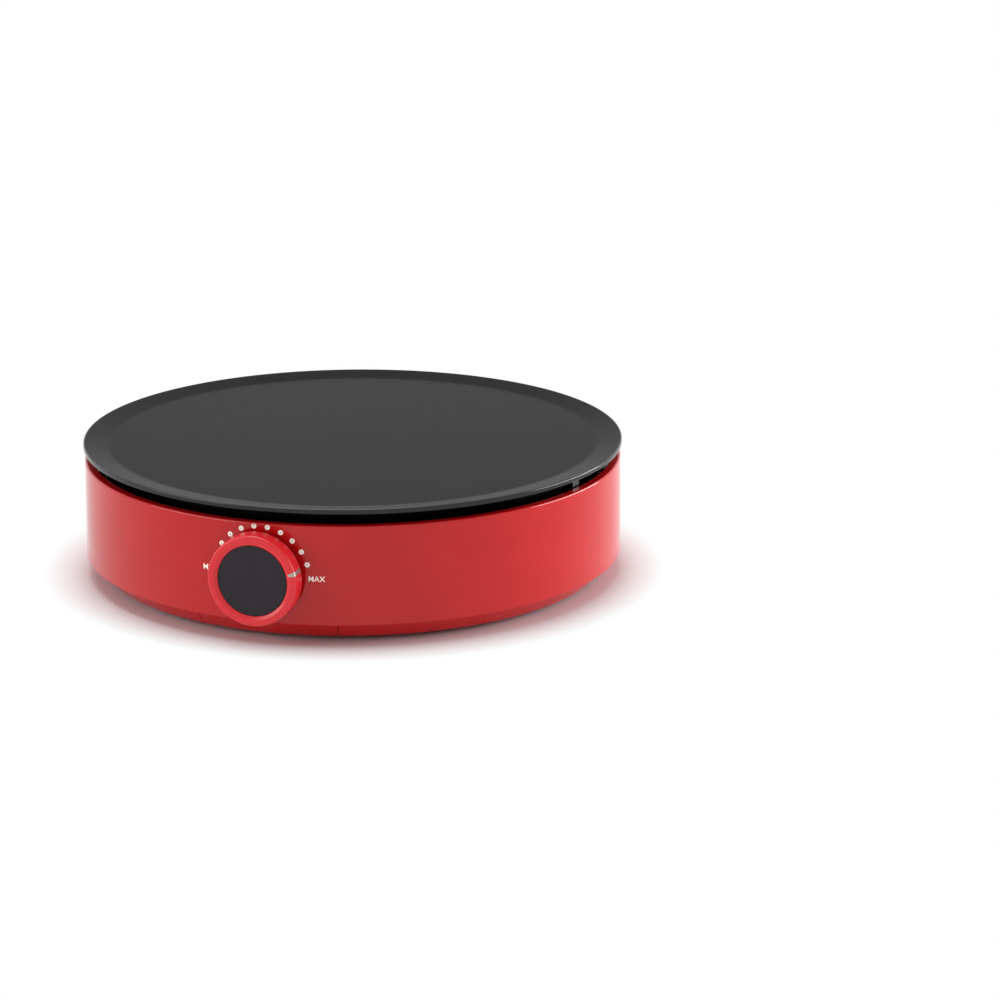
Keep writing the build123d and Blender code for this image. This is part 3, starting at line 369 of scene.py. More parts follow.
red_plastic = gloss_red("red_plastic", (0.420, 0.0030, 0.0040), (0.455, 0.0050, 0.0060))

POST_ANGLES = (24, 90, 156, -156, -90, -24)
CLIP_ANGLES = (76, -76)
POST_CIRCLE = 134.0
CLIP_CIRCLE = 138.8
DIAL_HEIGHT = 38.6
TONGUE_ANGLE = 15.6
INLET_HEIGHT = 26.0
THERMOSTAT_SCREWS_X = (-14, 14)
SCREW_HOLE = 1.55
HOLE_SIDES = 24
LATHE_STEPS = 300

housing = turned(
    "housing_shell",
    ring_points([
        (152.3, 11.9), (152.15, 25.7), (152.0, 39.5), (151.85, 53.3), (151.7, 67.1),
        (146.7, 67.1), (146.7, 64.7), (149.3, 64.7), (149.3, 60.0), (138.0, 60.0),
        (127.5, 60.0), (127.5, 57.6), (138.0, 57.6), (149.3, 57.6), (149.6, 34.0), (149.9, 11.9),
    ]),
    steps=LATHE_STEPS,
)
for radius, height, width, segments in (
    (152.3, 11.9, 0.9, 5), (151.7, 67.1, 1.0, 6), (146.7, 67.1, 0.5, 4),
):
    rounded(housing, at_ring(radius, height), width, segments)

tongue = turned(
    "tongue",
    ring_points([
        (140.0, 3.0), (141.7, 3.0), (142.5, 3.8), (149.2, 11.9), (150.9, 11.9), (150.9, 14.5),
        (147.5, 14.5), (147.5, 13.3), (140.8, 5.2), (140.0, 5.2),
    ]),
    steps=26, sweep=2 * TONGUE_ANGLE,
)
rounded(tongue, at_ring(142.5, 3.8), 0.35, 3)
rounded(tongue, at_ring(141.7, 3.0), 0.35, 3)
swung(tongue, TONGUE_ANGLE)

housing_posts = copies_around(post(5.0, 9.0, 58.6, (0, -POST_CIRCLE)), POST_ANGLES)
clip_bosses = copies_around(post(3.5, 52.6, 58.6, (0, -CLIP_CIRCLE)), CLIP_ANGLES)
thermostat_frame = boolean(
    block((-24, -149.9, 19.6), (24, -142.0, 58.6)),
    [block((-22, -155, 21.6), (22, -140, 56.6))], "DIFFERENCE",
)
bush_seats = [peg(8.5, 142.0, 149.9, 0, DIAL_HEIGHT)]
bush_seats += [peg(4.8, 142.0, 149.9, x, DIAL_HEIGHT) for x in THERMOSTAT_SCREWS_X]
boolean(
    housing,
    [tongue, joined(housing_posts + clip_bosses), thermostat_frame, *bush_seats], "UNION",
)
holes = copies_around(post(1.9, 8.0, 27.0, (0, -POST_CIRCLE), HOLE_SIDES), POST_ANGLES)
holes += copies_around(post(SCREW_HOLE, 45.0, 60.5, (0, -POST_CIRCLE), HOLE_SIDES), POST_ANGLES)
holes += copies_around(post(SCREW_HOLE, 52.0, 60.5, (0, -CLIP_CIRCLE), HOLE_SIDES), CLIP_ANGLES)
holes.append(peg(5.3, 141.0, 156.0, 0, DIAL_HEIGHT))
boolean(housing, [joined(holes)], "DIFFERENCE")
inlet = block((-6.5, 145.0, INLET_HEIGHT - 6.5), (6.5, 156.0, INLET_HEIGHT + 6.5))
boolean(housing, [inlet], "DIFFERENCE")
screw_holes = [peg(2.0, 141.0, 150.0, x, DIAL_HEIGHT, 32) for x in THERMOSTAT_SCREWS_X]
screw_seats = [peg(3.9, 149.6, 156.0, x, DIAL_HEIGHT) for x in THERMOSTAT_SCREWS_X]
boolean(housing, [joined(screw_holes), joined(screw_seats)], "DIFFERENCE")
finished(housing, red_plastic, "base", "red_gloss", "housing")

# ---- Base pan ------------------------------------------------------------------------------
# The bottom of the appliance, moulded in the same red ABS. Its side tapers in below the housing,
# its floor has a ring of vents and sunk seats for six screws, and it is screwed to the housing's
# posts from below. The notch at the front takes the housing's tongue.

FOOT_ANGLES = (42, 138, -138, -42)
FOOT_CIRCLE = 127.0
BLOCK_SCREWS = [(-5.6, 96), (5.6, 96)]
CLAMP_SCREWS = [(-10, 128), (10, 128)]
NOTCH_ANGLE = 15.75

base_pan = turned(
    "base_pan_shell",
    ring_points([
        (0, 3.0), (60, 3.0), (80, 3.0), (110, 3.0), (141.7, 3.0), (142.5, 3.8), (149.2, 11.9),
        (149.2, 17.0), (147.0, 17.0), (147.0, 12.7), (140.7, 5.0), (110, 5.0), (80, 5.0),
        (60, 5.0), (0, 5.0),
    ]),
    steps=LATHE_STEPS,
)
# The lathe's seam is turned a little, so that it misses the corners of the vents
SEAM_TURN = 0.3
swung(base_pan, SEAM_TURN)
rounded(base_pan, at_ring(142.5, 3.8), 0.35, 3)
rounded(base_pan, at_ring(141.7, 3.0), 0.35, 3)
notch = turned(
    "notch", ring_points([(139.4, -1), (159.4, -1), (159.4, 22), (139.4, 22)]),
    steps=30, sweep=2 * NOTCH_ANGLE,
)
boolean(base_pan, [swung(notch, NOTCH_ANGLE)], "DIFFERENCE")
ribs = [
    turned("rib", ring_points([(r - 1, 4.9), (r + 1, 4.9), (r + 0.8, 9.0), (r - 0.8, 9.0)]), 120)
    for r in (48, 112)
]
pan_bosses = copies_around(post(6.5, 4.9, 9.0, (0, -POST_CIRCLE)), POST_ANGLES)
pan_bosses += copies_around(post(4.5, 4.9, 12.0, (0, -FOOT_CIRCLE)), FOOT_ANGLES)
pan_bosses += [post(4.0, 4.9, 9.0, place) for place in BLOCK_SCREWS]
boolean(
    base_pan,
    [*ribs, joined(pan_bosses), block((-14, 123, 4.9), (14, 133, INLET_HEIGHT))], "UNION",
)


def slot_cutter(length, width, bottom, top, distance):
    """A round-ended slot's cutter at the front, pointing at the axis, its middle at this distance."""
    half, radius = (length - width) / 2, width / 2
    outline = [
        (radius * sin(radians(t)), -distance + side * half - radius * cos(radians(t)), bottom)
        for side, turn in ((-1, -90), (1, 90)) for t in range(turn, turn + 181, 15)
    ]
    return slab("slot", outline, (0, 0, top - bottom))


vents = copies_around(slot_cutter(26, 4, 1, 11, 70), range(0, 360, 15))
boolean(base_pan, [joined(vents)], "DIFFERENCE")
pan_holes = copies_around(post(2.1, 6.0, 10.0, (0, -POST_CIRCLE), HOLE_SIDES), POST_ANGLES)
pan_holes += copies_around(post(1.75, 1.0, 11.0, (0, -FOOT_CIRCLE), HOLE_SIDES), FOOT_ANGLES)
pan_holes += [post(SCREW_HOLE, 6.0, 10.0, place, HOLE_SIDES) for place in BLOCK_SCREWS]
pan_holes += [post(SCREW_HOLE, 14.0, 27.0, place, HOLE_SIDES) for place in CLAMP_SCREWS]
boolean(base_pan, [joined(pan_holes)], "DIFFERENCE")
cord_groove = [(-5.1, 26), (-1.5, 22.4), (1.5, 22.4), (5.1, 26), (5.1, 31), (-5.1, 31)]
boolean(
    base_pan, [slab("groove", [(x, 134, z) for x, z in cord_groove], (0, -12, 0))], "DIFFERENCE",
)
screw_wells = copies_around(post(4.2, 1.0, 7.0, (0, -POST_CIRCLE)), POST_ANGLES)
boolean(base_pan, [joined(screw_wells), block((-30, -125, 2), (30, -99, 3.4))], "DIFFERENCE")
finished(base_pan, red_plastic, "base", "red_gloss", "base_pan")

# ---- Cooking plate -------------------------------------------------------------------------
# The griddle that batter is spread on: one aluminium casting with a flat disc, a sloping border
# and a narrow rim, and below it a skirt, the element's channel and screw bosses. It is blasted
# and sprayed with a dark non-stick coat, which leaves it satin with a very fine grain.


def around(angles, radius, height):
    """Places on a circle about the plate's axis, at these angles from the front."""
    return [(radius * sin(radians(a)), -radius * cos(radians(a)), height) for a in angles]


STRAP_ANGLES = (60, 130, -130, -60)
STRAP_CIRCLE = 79.0
PLATE_BOSS_CIRCLE = 123.0
BULB_SCREWS = [(0, -61.5), (0, -42.5)]
FUSE_SCREWS = [(0, 31.0), (0, 49.0)]
ELEMENT_CIRCLE = 90
SEAT_RADIUS = 3.35
CHANNEL_SWEEP = 308

plate = turned(
    "cooking_plate_casting",
    ring_points([
        (0, 74.3), (45, 74.3), (95, 74.3), (138.5, 74.3), (149.0, 76.1), (151.5, 76.5), (152.5, 76.5),
        (152.5, 73.8), (151.9, 73.8), (142.5, 71.9), (142.5, 64.0), (139.5, 64.0), (139.5, 70.3),
        (95, 70.3), (45, 70.3), (0, 70.3),
    ]),
    steps=LATHE_STEPS,
)
for radius, height, width, segments in (
    (152.5, 76.5, 0.75, 5), (152.5, 73.8, 0.5, 4), (149.0, 76.1, 1.0, 3), (138.5, 74.3, 1.6, 5),
    (142.5, 71.9, 0.8, 4), (142.5, 64.0, 0.6, 3), (139.5, 64.0, 0.6, 3),
):
    rounded(plate, at_ring(radius, height), width, segments)
seat = [
    (ELEMENT_CIRCLE + SEAT_RADIUS * sin(radians(a)), 66.9 + SEAT_RADIUS * cos(radians(a)))
    for a in range(-90, 91, 15)
]
channel = turned(
    "channel",
    ring_points([
        (84, 63.4), (86.65, 63.4), *seat, (93.35, 63.4), (96, 63.4), (96, 71.0), (84, 71.0),
    ]),
    steps=220, sweep=CHANNEL_SWEEP,
)
swung(channel, CHANNEL_SWEEP / 2)
plate_bosses = [post(4.5, 65.8, 71.0, p[:2]) for p in around(POST_ANGLES, PLATE_BOSS_CIRCLE, 0)]
plate_bosses += [post(4.0, 63.4, 71.0, p[:2]) for p in around(STRAP_ANGLES, STRAP_CIRCLE, 0)]
plate_bosses += [post(4.0, 64.25, 71.0, p) for p in BULB_SCREWS]
plate_bosses += [post(4.0, 65.65, 71.0, p) for p in FUSE_SCREWS]
boolean(plate, [channel, joined(plate_bosses)], "UNION")
blind_holes = [
    post(SCREW_HOLE, 60.0, 71.3, p[:2], HOLE_SIDES)
    for p in around(POST_ANGLES, PLATE_BOSS_CIRCLE, 0) + around(STRAP_ANGLES, STRAP_CIRCLE, 0)
]
blind_holes += [post(SCREW_HOLE, 60.0, 71.3, p, HOLE_SIDES) for p in BULB_SCREWS + FUSE_SCREWS]
boolean(plate, [joined(blind_holes)], "DIFFERENCE")

coat = Finish("nonstick_coat", IOR=1.33, Specular_IOR_Level=0.028, Coat_Roughness=0.16)
fleck = coat.cells(1.3)
cloud = coat.noise(24, 3.0)
flat = coat.ramp(cloud, [(0.3, (0.0040, 0.0040, 0.0044)), (0.7, (0.0056, 0.0056, 0.0060))])
# The sloping border is coloured about twice as light as the flat disc: a painted sheen on the tilted
# border, not a different coat.
sloping_painted_sheen = coat.ramp(cloud, [(0.3, (0.0095, 0.0095, 0.0100)), (0.7, (0.0120, 0.0120, 0.0125))])
level = coat.node("SeparateXYZ")
coat.link(coat.place, level.inputs[0])
reach = coat.length(coat.mapped(scale=(1, 1, 0)))
outward = coat.between(reach, 0.0, 1.0, 0.137, 0.140)
border = coat.both(outward, coat.between(reach, 1.0, 0.0, 0.1515, 0.1520))
# Below the rim, on the skirt, the element's channel and the bosses, the coat is coloured near-black:
# painted shade under the plate.
upper = coat.between(level.outputs["Z"], 0.0, 1.0, 0.0730, 0.0737)
# The rim's outer edge and side are coloured lighter than the flat disc: a painted highlight on the side
# that catches the light.
rim = coat.both(upper, coat.between(reach, 0.0, 1.0, 0.1516, 0.1520))
charcoal = coat.blended(rim, coat.blended(border, flat, sloping_painted_sheen), (0.0065, 0.0065, 0.0070))
speckled = coat.blended(coat.between(fleck, 0.35, 0.0, 0.04, 0.11), charcoal, (0.05, 0.05, 0.05))
# The near-black colour below the rim is the painted shade.
coat.colour(coat.blended(upper, (0.0014, 0.0014, 0.0015), speckled))
coat.link(coat.between(rim, 0.0, 0.75), coat.shader.inputs["Coat Weight"])
coat.rough(coat.between(coat.noise(4, 4.0), 0.21, 0.26, 0.3, 0.7))
coat.bump((coat.noise(1.4, 3.0), 0.006), (coat.noise(0.4, 2.0), 0.006))
finished(plate, coat.material, "base", "nonstick", "cooking_plate")

# ---- Rubber feet ---------------------------------------------------------------------------
# Four soft black pads under the base pan that keep the appliance from sliding. Each is moulded
# rubber, turned in outline, with a recess that hides the head of its screw.

rubber = Finish("black_rubber", IOR=1.5, Specular_IOR_Level=0.35)
bloom = rubber.noise(5, 4.0)
rubber.colour(rubber.ramp(bloom, [(0.3, (0.016, 0.016, 0.016)), (0.75, (0.032, 0.031, 0.030))]))
rubber.rough(rubber.between(bloom, 0.62, 0.82, 0.3, 0.7))
rubber.bump((rubber.noise(0.9, 3.0), 0.03), (rubber.noise(0.25, 2.0), 0.01))

foot = turned(
    "rubber_feet_pads",
    [(r, 0, z) for r, z in (
        (3.8, 0), (7.0, 0), (7.6, 0.6), (8.0, 3.0), (1.9, 3.0), (1.9, 1.6), (3.8, 1.6),
    )],
    steps=48,
)
softened(foot, 0.25, 30, 3)
select_only(foot)
bpy.ops.transform.translate(value=(0, -FOOT_CIRCLE * MM, 0))
feet = joined(copies_around(settle(foot), FOOT_ANGLES))
feet.name = feet.data.name = "rubber_feet_pads"
finished(feet, rubber.material, "base", "black_rubber", "rubber_feet")

# ---- Screws --------------------------------------------------------------------------------
# Zinc-plated pan-head screws with a cross recess. Six hold the base pan to the housing's posts,
# four hold the feet, and smaller ones hold the plate's brackets, the straps and the clips.


def zinc(name, tint=(0.62, 0.63, 0.65), low=0.24, high=0.42):
    """Bright zinc plating: a faint blue cast, cloudy patches and fine handling marks."""
    finish = Finish(name, metallic=1.0)
    cloud = finish.noise(6, 4.0)
    pale = [c * 1.12 for c in tint]
    finish.colour(finish.ramp(cloud, [(0.3, tint), (0.7, pale)]))
    finish.rough(finish.between(finish.noise(2.2, 5.0), low, high, 0.3, 0.7))
    marks = finish.noise(0.5, 3.0, source=finish.mapped(scale=(1, 9, 3), turn=(20, 0, 35)))
    finish.bump((finish.noise(1.5, 2.0), 0.004), (marks, 0.003))
    return finish.material


zinc_plate = zinc("zinc_plate")

THREAD_PITCH = 0.9
SMALL_HEAD = (3.0, 2.0, 1.5)


def screw(head_radius, head_height, shank_radius, length):
    """A screw that points up, its seat at the origin and its head hanging below it."""
    r, h, s = head_radius, head_height, shank_radius
    thread = []
    for i in range(int((length - 2.0) / THREAD_PITCH)):
        low = 1.0 + i * THREAD_PITCH
        thread += [(s * 0.78, low), (s, low + 0.35), (s, low + 0.5), (s * 0.78, low + 0.85)]
    outline = [
        (0, -h), (r * 0.45, -h * 0.99), (r * 0.72, -h * 0.9), (r * 0.9, -h * 0.68), (r, -h * 0.3),
        (r, 0), (s, 0), *thread, (s * 0.6, length - 0.4), (0, length),
    ]
    piece = turned("screw", [(x, 0, z) for x, z in outline], steps=28)
    arm, wide, deep = r * 0.62, max(0.32, r * 0.13), h * 0.62
    bars = [
        block((-arm, -wide, -h - 1), (arm, wide, -h + deep)),
        block((-wide, -arm, -h - 1), (wide, arm, -h + deep)),
    ]
    for bar in bars:
        for vertex in bar.data.vertices:
            if vertex.co.z > -h * MM:
                vertex.co.x *= 0.55
                vertex.co.y *= 0.55
    return boolean(piece, bars, "DIFFERENCE")


def screw_set(node, sizes, places, turn=0.0):
    """Copies of one screw at places in millimetres, as one piece that replaces a node."""
    first = screw(*sizes)
    if turn:
        select_only(first)
        bpy.ops.transform.rotate(value=radians(-turn), orient_axis="X", center_override=(0, 0, 0))
        settle(first)
    copies = []
    for place in places:
        select_only(first)
        bpy.ops.object.duplicate(linked=False)
        copy = bpy.context.object
        copy.location = [c * MM for c in place]
        copies.append(settle(copy))
    bpy.data.objects.remove(first)
    made = joined(copies)
    made.name = made.data.name = node + "_set"
    return finished(made, zinc_plate, "base", "zinc_steel", node)


screw_set("base_screws", (3.9, 2.2, 1.85, 18), around(POST_ANGLES, POST_CIRCLE, 7.0))
screw_set("foot_screws", (3.4, 1.3, 1.7, 8.9), around(FOOT_ANGLES, FOOT_CIRCLE, 1.6))
screw_set("plate_screws", (*SMALL_HEAD, 5.5), around(POST_ANGLES, PLATE_BOSS_CIRCLE, 64.6))
screw_set("bracket_screws", (*SMALL_HEAD, 14), around(POST_ANGLES, POST_CIRCLE, 62.0), turn=180)
screw_set("element_strap_screws", (*SMALL_HEAD, 5.5), around(STRAP_ANGLES, STRAP_CIRCLE, 62.2))
screw_set("bulb_strap_screws", (*SMALL_HEAD, 5.5), [(x, y, 63.05) for x, y in BULB_SCREWS])
screw_set("fuse_strap_screws", (*SMALL_HEAD, 5.5), [(x, y, 64.45) for x, y in FUSE_SCREWS])
screw_set("spring_clip_screws", (2.2, 1.5, 1.5, 8), around(CLIP_ANGLES, CLIP_CIRCLE, 61.6), turn=180)
screw_set(
    "thermostat_screws", (3.4, 1.6, 1.9, 13.5), [(x, -149.6, DIAL_HEIGHT) for x in THERMOSTAT_SCREWS_X],
    turn=-90,
)
screw_set(
    "cord_clamp_screws", (*SMALL_HEAD, 15), [(x, y, 31.4) for x, y in CLAMP_SCREWS], turn=180,
)
screw_set(
    "terminal_block_screws", (2.4, 1.8, 1.5, 15), [(x, y, 21) for x, y in BLOCK_SCREWS], turn=180,
)

# ---- Brackets and clips --------------------------------------------------------------------
# Strips cut from sheet and bent. Six zinc-plated brackets carry the plate on the housing's posts,
# and two thin springs of blued steel in the gap press on the plate's skirt and centre it. The
# springs are coloured darker than blued steel, as painted shade for the gap.


def bent_strip(name, path, width, sheet, bend):
    """A strip along a path of (radius, height) at the front, as wide as given, its bends rounded.

    The path is one face of the sheet, and the thickness lies on its other side.
    """
    piece = drawn_outline(name, ring_points(path))
    mesh = piece.data
    bpy.ops.object.mode_set(mode="OBJECT")
    for edge in mesh.edges:
        ends = {round(mesh.vertices[i].co.y / MM, 2) for i in edge.vertices}
        edge.select = ends == {round(-path[0][0], 2), round(-path[-1][0], 2)} and len(path) > 2
    bpy.context.tool_settings.mesh_select_mode = (False, True, False)
    bpy.ops.object.mode_set(mode="EDIT")
    bpy.ops.mesh.delete(type="EDGE")
    bpy.ops.mesh.select_all(action="SELECT")
    bpy.ops.mesh.extrude_region_move(TRANSFORM_OT_translate={"value": (width * MM, 0, 0)})
    bpy.ops.mesh.select_all(action="SELECT")
    bpy.ops.transform.translate(value=(-width / 2 * MM, 0, 0))
    bpy.ops.object.mode_set(mode="OBJECT")
    for radius, height in path[1:-1]:
        rounded(
            piece,
            lambda co: abs(co.y + radius * MM) < 0.02 * MM and abs(co.z - height * MM) < 0.02 * MM,
            bend, 4,
        )
    modifier = piece.modifiers.new("Sheet", "SOLIDIFY")
    modifier.thickness = sheet * MM
    modifier.offset = 1
    modifier.use_even_offset = True
    select_only(piece)
    bpy.ops.object.modifier_apply(modifier=modifier.name)
    return softened(piece, 0.12, 60, 1)


bracket = bent_strip(
    "bracket", [(118.5, 64.6), (128.0, 64.6), (128.0, 60.8), (139.0, 60.8)], 14, 1.2, 1.4
)
bracket_holes = [
    post(SCREW_HOLE, 58, 68, (0, -radius), HOLE_SIDES) for radius in (POST_CIRCLE, PLATE_BOSS_CIRCLE)
]
boolean(bracket, [joined(bracket_holes)], "DIFFERENCE")
brackets = joined(copies_around(bracket, POST_ANGLES))
brackets.name = brackets.data.name = "plate_bracket_strips"
finished(brackets, zinc_plate, "base", "zinc_steel", "plate_brackets")

clip = bent_strip(
    "clip", [(136.5, 60.8), (144.8, 60.8), (144.8, 71.0), (142.65, 71.0)], 7, 0.8, 1.3
)
boolean(clip, [post(SCREW_HOLE, 58, 63, (0, -CLIP_CIRCLE), HOLE_SIDES)], "DIFFERENCE")
clips = joined(copies_around(clip, CLIP_ANGLES))
clips.name = clips.data.name = "spring_clip_strips"
blued_and_painted_shade = Finish("blued_spring_steel", metallic=1.0)
oxide = blued_and_painted_shade.noise(3, 3.0)
# The springs' colour is far darker than blued steel's own: partly the blued finish, partly painted
# shade of the dark gap.
blued_and_painted_shade.colour(blued_and_painted_shade.ramp(oxide, [(0.3, (0.011, 0.012, 0.016)), (0.7, (0.026, 0.025, 0.028))]))
blued_and_painted_shade.rough(blued_and_painted_shade.between(blued_and_painted_shade.noise(1.2, 4.0), 0.24, 0.38, 0.3, 0.7))
blued_and_painted_shade.bump((blued_and_painted_shade.noise(0.5, 3.0, source=blued_and_painted_shade.mapped(scale=(1, 1, 0.1))), 0.004))
finished(clips, blued_and_painted_shade.material, "base", "element_steel", "spring_clips")

# ---- Knob ----------------------------------------------------------------------------------
# The temperature knob: a glossy red moulding with a sunk face, a matte black disc pressed into it
# and a metallised strip let into its edge as the pointer. It turns on the thermostat's shaft.

KNOB_CENTRE = (0, 0, DIAL_HEIGHT)
POINTER_ANGLE = 14.0


def dial_points(outline):
    """Points of a section through the knob's axis, given as (distance in front, radius)."""
    return [(0, -front, DIAL_HEIGHT + radius) for front, radius in outline]


def at_disc(front, radius):
    """A test for vertices on one circle about the knob's axis."""
    return lambda co: (
        abs(co.y + front * MM) < 0.03 * MM
        and abs(hypot(co.x, co.z - DIAL_HEIGHT * MM) - radius * MM) < 0.04 * MM
    )


def pointer_slab(name, gap):
    """The pointer's bent strip, or the notch for it where a gap is given, turned to its mark."""
    outer = [
        (164.0 + (1.45 + gap) * sin(radians(a)), 23.7 + (1.45 + gap) * cos(radians(a)))
        for a in range(0, 91, 15)
    ]
    inner = [
        (164.0 + 0.8 * sin(radians(a)), 23.6 + 0.8 * cos(radians(a))) for a in range(90, -1, -15)
    ]
    points = [
        (156.2 - gap, 24.4), (156.2 - gap, 25.15 + gap), *outer, (165.45 + gap, 21.2 - gap),
        (164.8, 21.2 - gap), *inner,
    ]
    piece = slab(name, dial_points(points), (4, 0, 0))
    select_only(piece)
    bpy.ops.transform.translate(value=(-2 * MM, 0, 0))
    settle(piece)
    taper = [(-0.5, 21.0), (-1.2, 24.2), (-1.2, 27.0), (1.2, 27.0), (1.2, 24.2), (0.5, 21.0)]
    wedge = [(x + (gap if x > 0 else -gap), -170, DIAL_HEIGHT + r) for x, r in taper]
    boolean(piece, [slab("wedge", wedge, (0, 20, 0))], "INTERSECT")
    select_only(piece)
    bpy.ops.transform.rotate(
        value=radians(POINTER_ANGLE - 90), orient_axis="Y",
        center_override=[c * MM for c in KNOB_CENTRE],
    )
    return settle(piece)


knob = turned(
    "knob_moulding",
    dial_points([
        (155.6, 25.0), (160.4, 25.0), (165.3, 25.0), (165.3, 21.4), (164.2, 19.6), (162.8, 19.45),
        (162.8, 6), (162.8, 0), (160.8, 0), (160.8, 6), (160.8, 23.0), (155.6, 23.0),
    ]),
    steps=200, centre=KNOB_CENTRE, axis=(0, 1, 0),
)
for front, radius, width, segments in (
    (165.3, 25.0, 1.3, 7), (165.3, 21.4, 0.45, 4), (164.2, 19.6, 0.2, 2), (155.6, 25.0, 0.35, 3),
):
    rounded(knob, at_disc(front, radius), width, segments)
boolean(knob, [peg(6.0, 155.6, 161.3, 0, DIAL_HEIGHT)], "UNION")
hub_bore = boolean(
    peg(3.03, 153.0, 161.2, 0, DIAL_HEIGHT),
    [block((-5, -163, DIAL_HEIGHT + 2.7), (5, -150, DIAL_HEIGHT + 8))], "DIFFERENCE",
)
boolean(knob, [hub_bore, pointer_slab("notch", 0.07)], "DIFFERENCE")
knob_red = gloss_red("knob_red", (0.575, 0.012, 0.018), (0.615, 0.016, 0.023), 0.24, 0.31)
finished(knob, knob_red, "knob", "red_gloss", "knob_body")

cap = turned(
    "knob_cap_disc",
    dial_points([(162.8, 0), (162.8, 19.4), (164.2, 19.4), (164.2, 10), (164.2, 0)]),
    steps=160, centre=KNOB_CENTRE, axis=(0, 1, 0),
)
rounded(cap, at_disc(164.2, 19.4), 0.3, 3)
matte = Finish("matte_black_abs", IOR=1.5, Specular_IOR_Level=0.22)
haze = matte.noise(14, 3.0)
matte.colour(matte.ramp(haze, [(0.3, (0.0135, 0.0110, 0.0145)), (0.7, (0.0170, 0.0140, 0.0180))]))
matte.rough(matte.between(matte.noise(3, 4.0), 0.46, 0.58, 0.3, 0.7))
matte.bump((matte.noise(0.35, 2.0), 0.012), (matte.noise(1.3, 2.0), 0.006))
finished(cap, matte.material, "knob", "black_plastic", "knob_cap")

pointer = softened(pointer_slab("knob_pointer_strip", 0.0), 0.1, 40, 2)
foil = Finish("metallised_strip", metallic=1.0)
brushed = foil.noise(0.25, 2.0, source=foil.mapped(scale=(8, 1, 1)))
foil.colour(foil.ramp(foil.noise(4, 2.0), [(0.3, (0.40, 0.33, 0.30)), (0.7, (0.48, 0.41, 0.37))]))
foil.rough(foil.between(brushed, 0.34, 0.48, 0.3, 0.7))
foil.bump((brushed, 0.004))
finished(pointer, foil.material, "knob", "silver", "knob_pointer")

# ---- Dial print ----------------------------------------------------------------------------
# The scale round the knob: ten dots with MIN at one end and MAX at the other, pad-printed on the
# housing in cream ink. The ink is a film a few hundredths of a millimetre thick.

DOT_CIRCLE = 26.8
DOT_STEP = 16.3
FIRST_DOT = 161.95
DOT_COUNT = 10
INK = 0.035
PRINT_START = -0.17


def printed(piece):
    """Wraps a flat print, drawn in front of the housing, on to its wall as a film of ink."""
    wrap = piece.modifiers.new("Wrap", "SHRINKWRAP")
    wrap.target = housing
    wrap.wrap_method = "PROJECT"
    wrap.use_project_x = wrap.use_project_z = False
    wrap.use_project_y = wrap.use_positive_direction = True
    wrap.offset = INK * MM
    film = piece.modifiers.new("Film", "SOLIDIFY")
    film.thickness = INK * MM
    film.offset = -1
    select_only(piece)
    for modifier in (wrap, film):
        bpy.ops.object.modifier_apply(modifier=modifier.name)
    return piece


def dot(x, height):
    """One flat dot with a tiny open centre, in front of the wall."""
    bpy.ops.object.select_all(action="DESELECT")
    bpy.ops.mesh.primitive_circle_add(
        vertices=32, radius=1.42 * MM, fill_type="NGON",
        location=(x * MM, PRINT_START, height * MM), rotation=(radians(90), 0, 0),
    )
    piece = settle(bpy.context.object)
    bpy.ops.object.mode_set(mode="EDIT")
    bpy.ops.mesh.select_all(action="SELECT")
    bpy.ops.mesh.inset(thickness=1.12 * MM)
    bpy.ops.mesh.delete(type="FACE")
    bpy.ops.object.mode_set(mode="OBJECT")
    return piece


def word(text, x, height, width, tall):
    """A flat word in front of the wall, centred at a place and stretched to a size in millimetres."""
    bpy.ops.object.select_all(action="DESELECT")
    bpy.ops.object.text_add(rotation=(radians(90), 0, 0))
    piece = bpy.context.object
    piece.data.body = text
    piece.data.offset = 0.014
    piece.data.space_character = 1.06
    piece.data.resolution_u = 4
    bpy.ops.object.convert(target="MESH")
    settle(piece)
    bpy.ops.object.origin_set(type="ORIGIN_GEOMETRY", center="BOUNDS")
    piece.scale = (width * MM / piece.dimensions.x, 1, tall * MM / piece.dimensions.z)
    piece.location = (x * MM, PRINT_START, height * MM)
    return settle(piece)


print_pieces = [
    dot(
        DOT_CIRCLE * cos(radians(FIRST_DOT - DOT_STEP * i)),
        DIAL_HEIGHT + DOT_CIRCLE * sin(radians(FIRST_DOT - DOT_STEP * i)),
    )
    for i in range(DOT_COUNT)
]
print_pieces.append(word("MIN", -30.0, DIAL_HEIGHT + 0.66, 7.4, 2.95))
print_pieces.append(word("MAX", 30.85, DIAL_HEIGHT - 0.67, 8.7, 2.95))
marks = printed(joined(print_pieces))
marks.name = marks.data.name = "dial_marks"
ink = Finish("cream_ink", IOR=1.45)
ink.colour(ink.ramp(ink.noise(1.1, 3.0), [(0.3, (0.93, 0.85, 0.74)), (0.7, (0.98, 0.92, 0.83))]))
ink.rough(ink.between(ink.noise(0.8, 2.0), 0.30, 0.45, 0.3, 0.7))
ink.bump((ink.noise(0.3, 2.0), 0.004))
finished(marks, ink.material, "base", "white_plastic")

# ---- Cord bush -----------------------------------------------------------------------------
# A black rubber grommet pressed into the square inlet in the rear wall, where a cord would pass.
# Its square waist keeps it from turning, and its two flanges grip the wall.

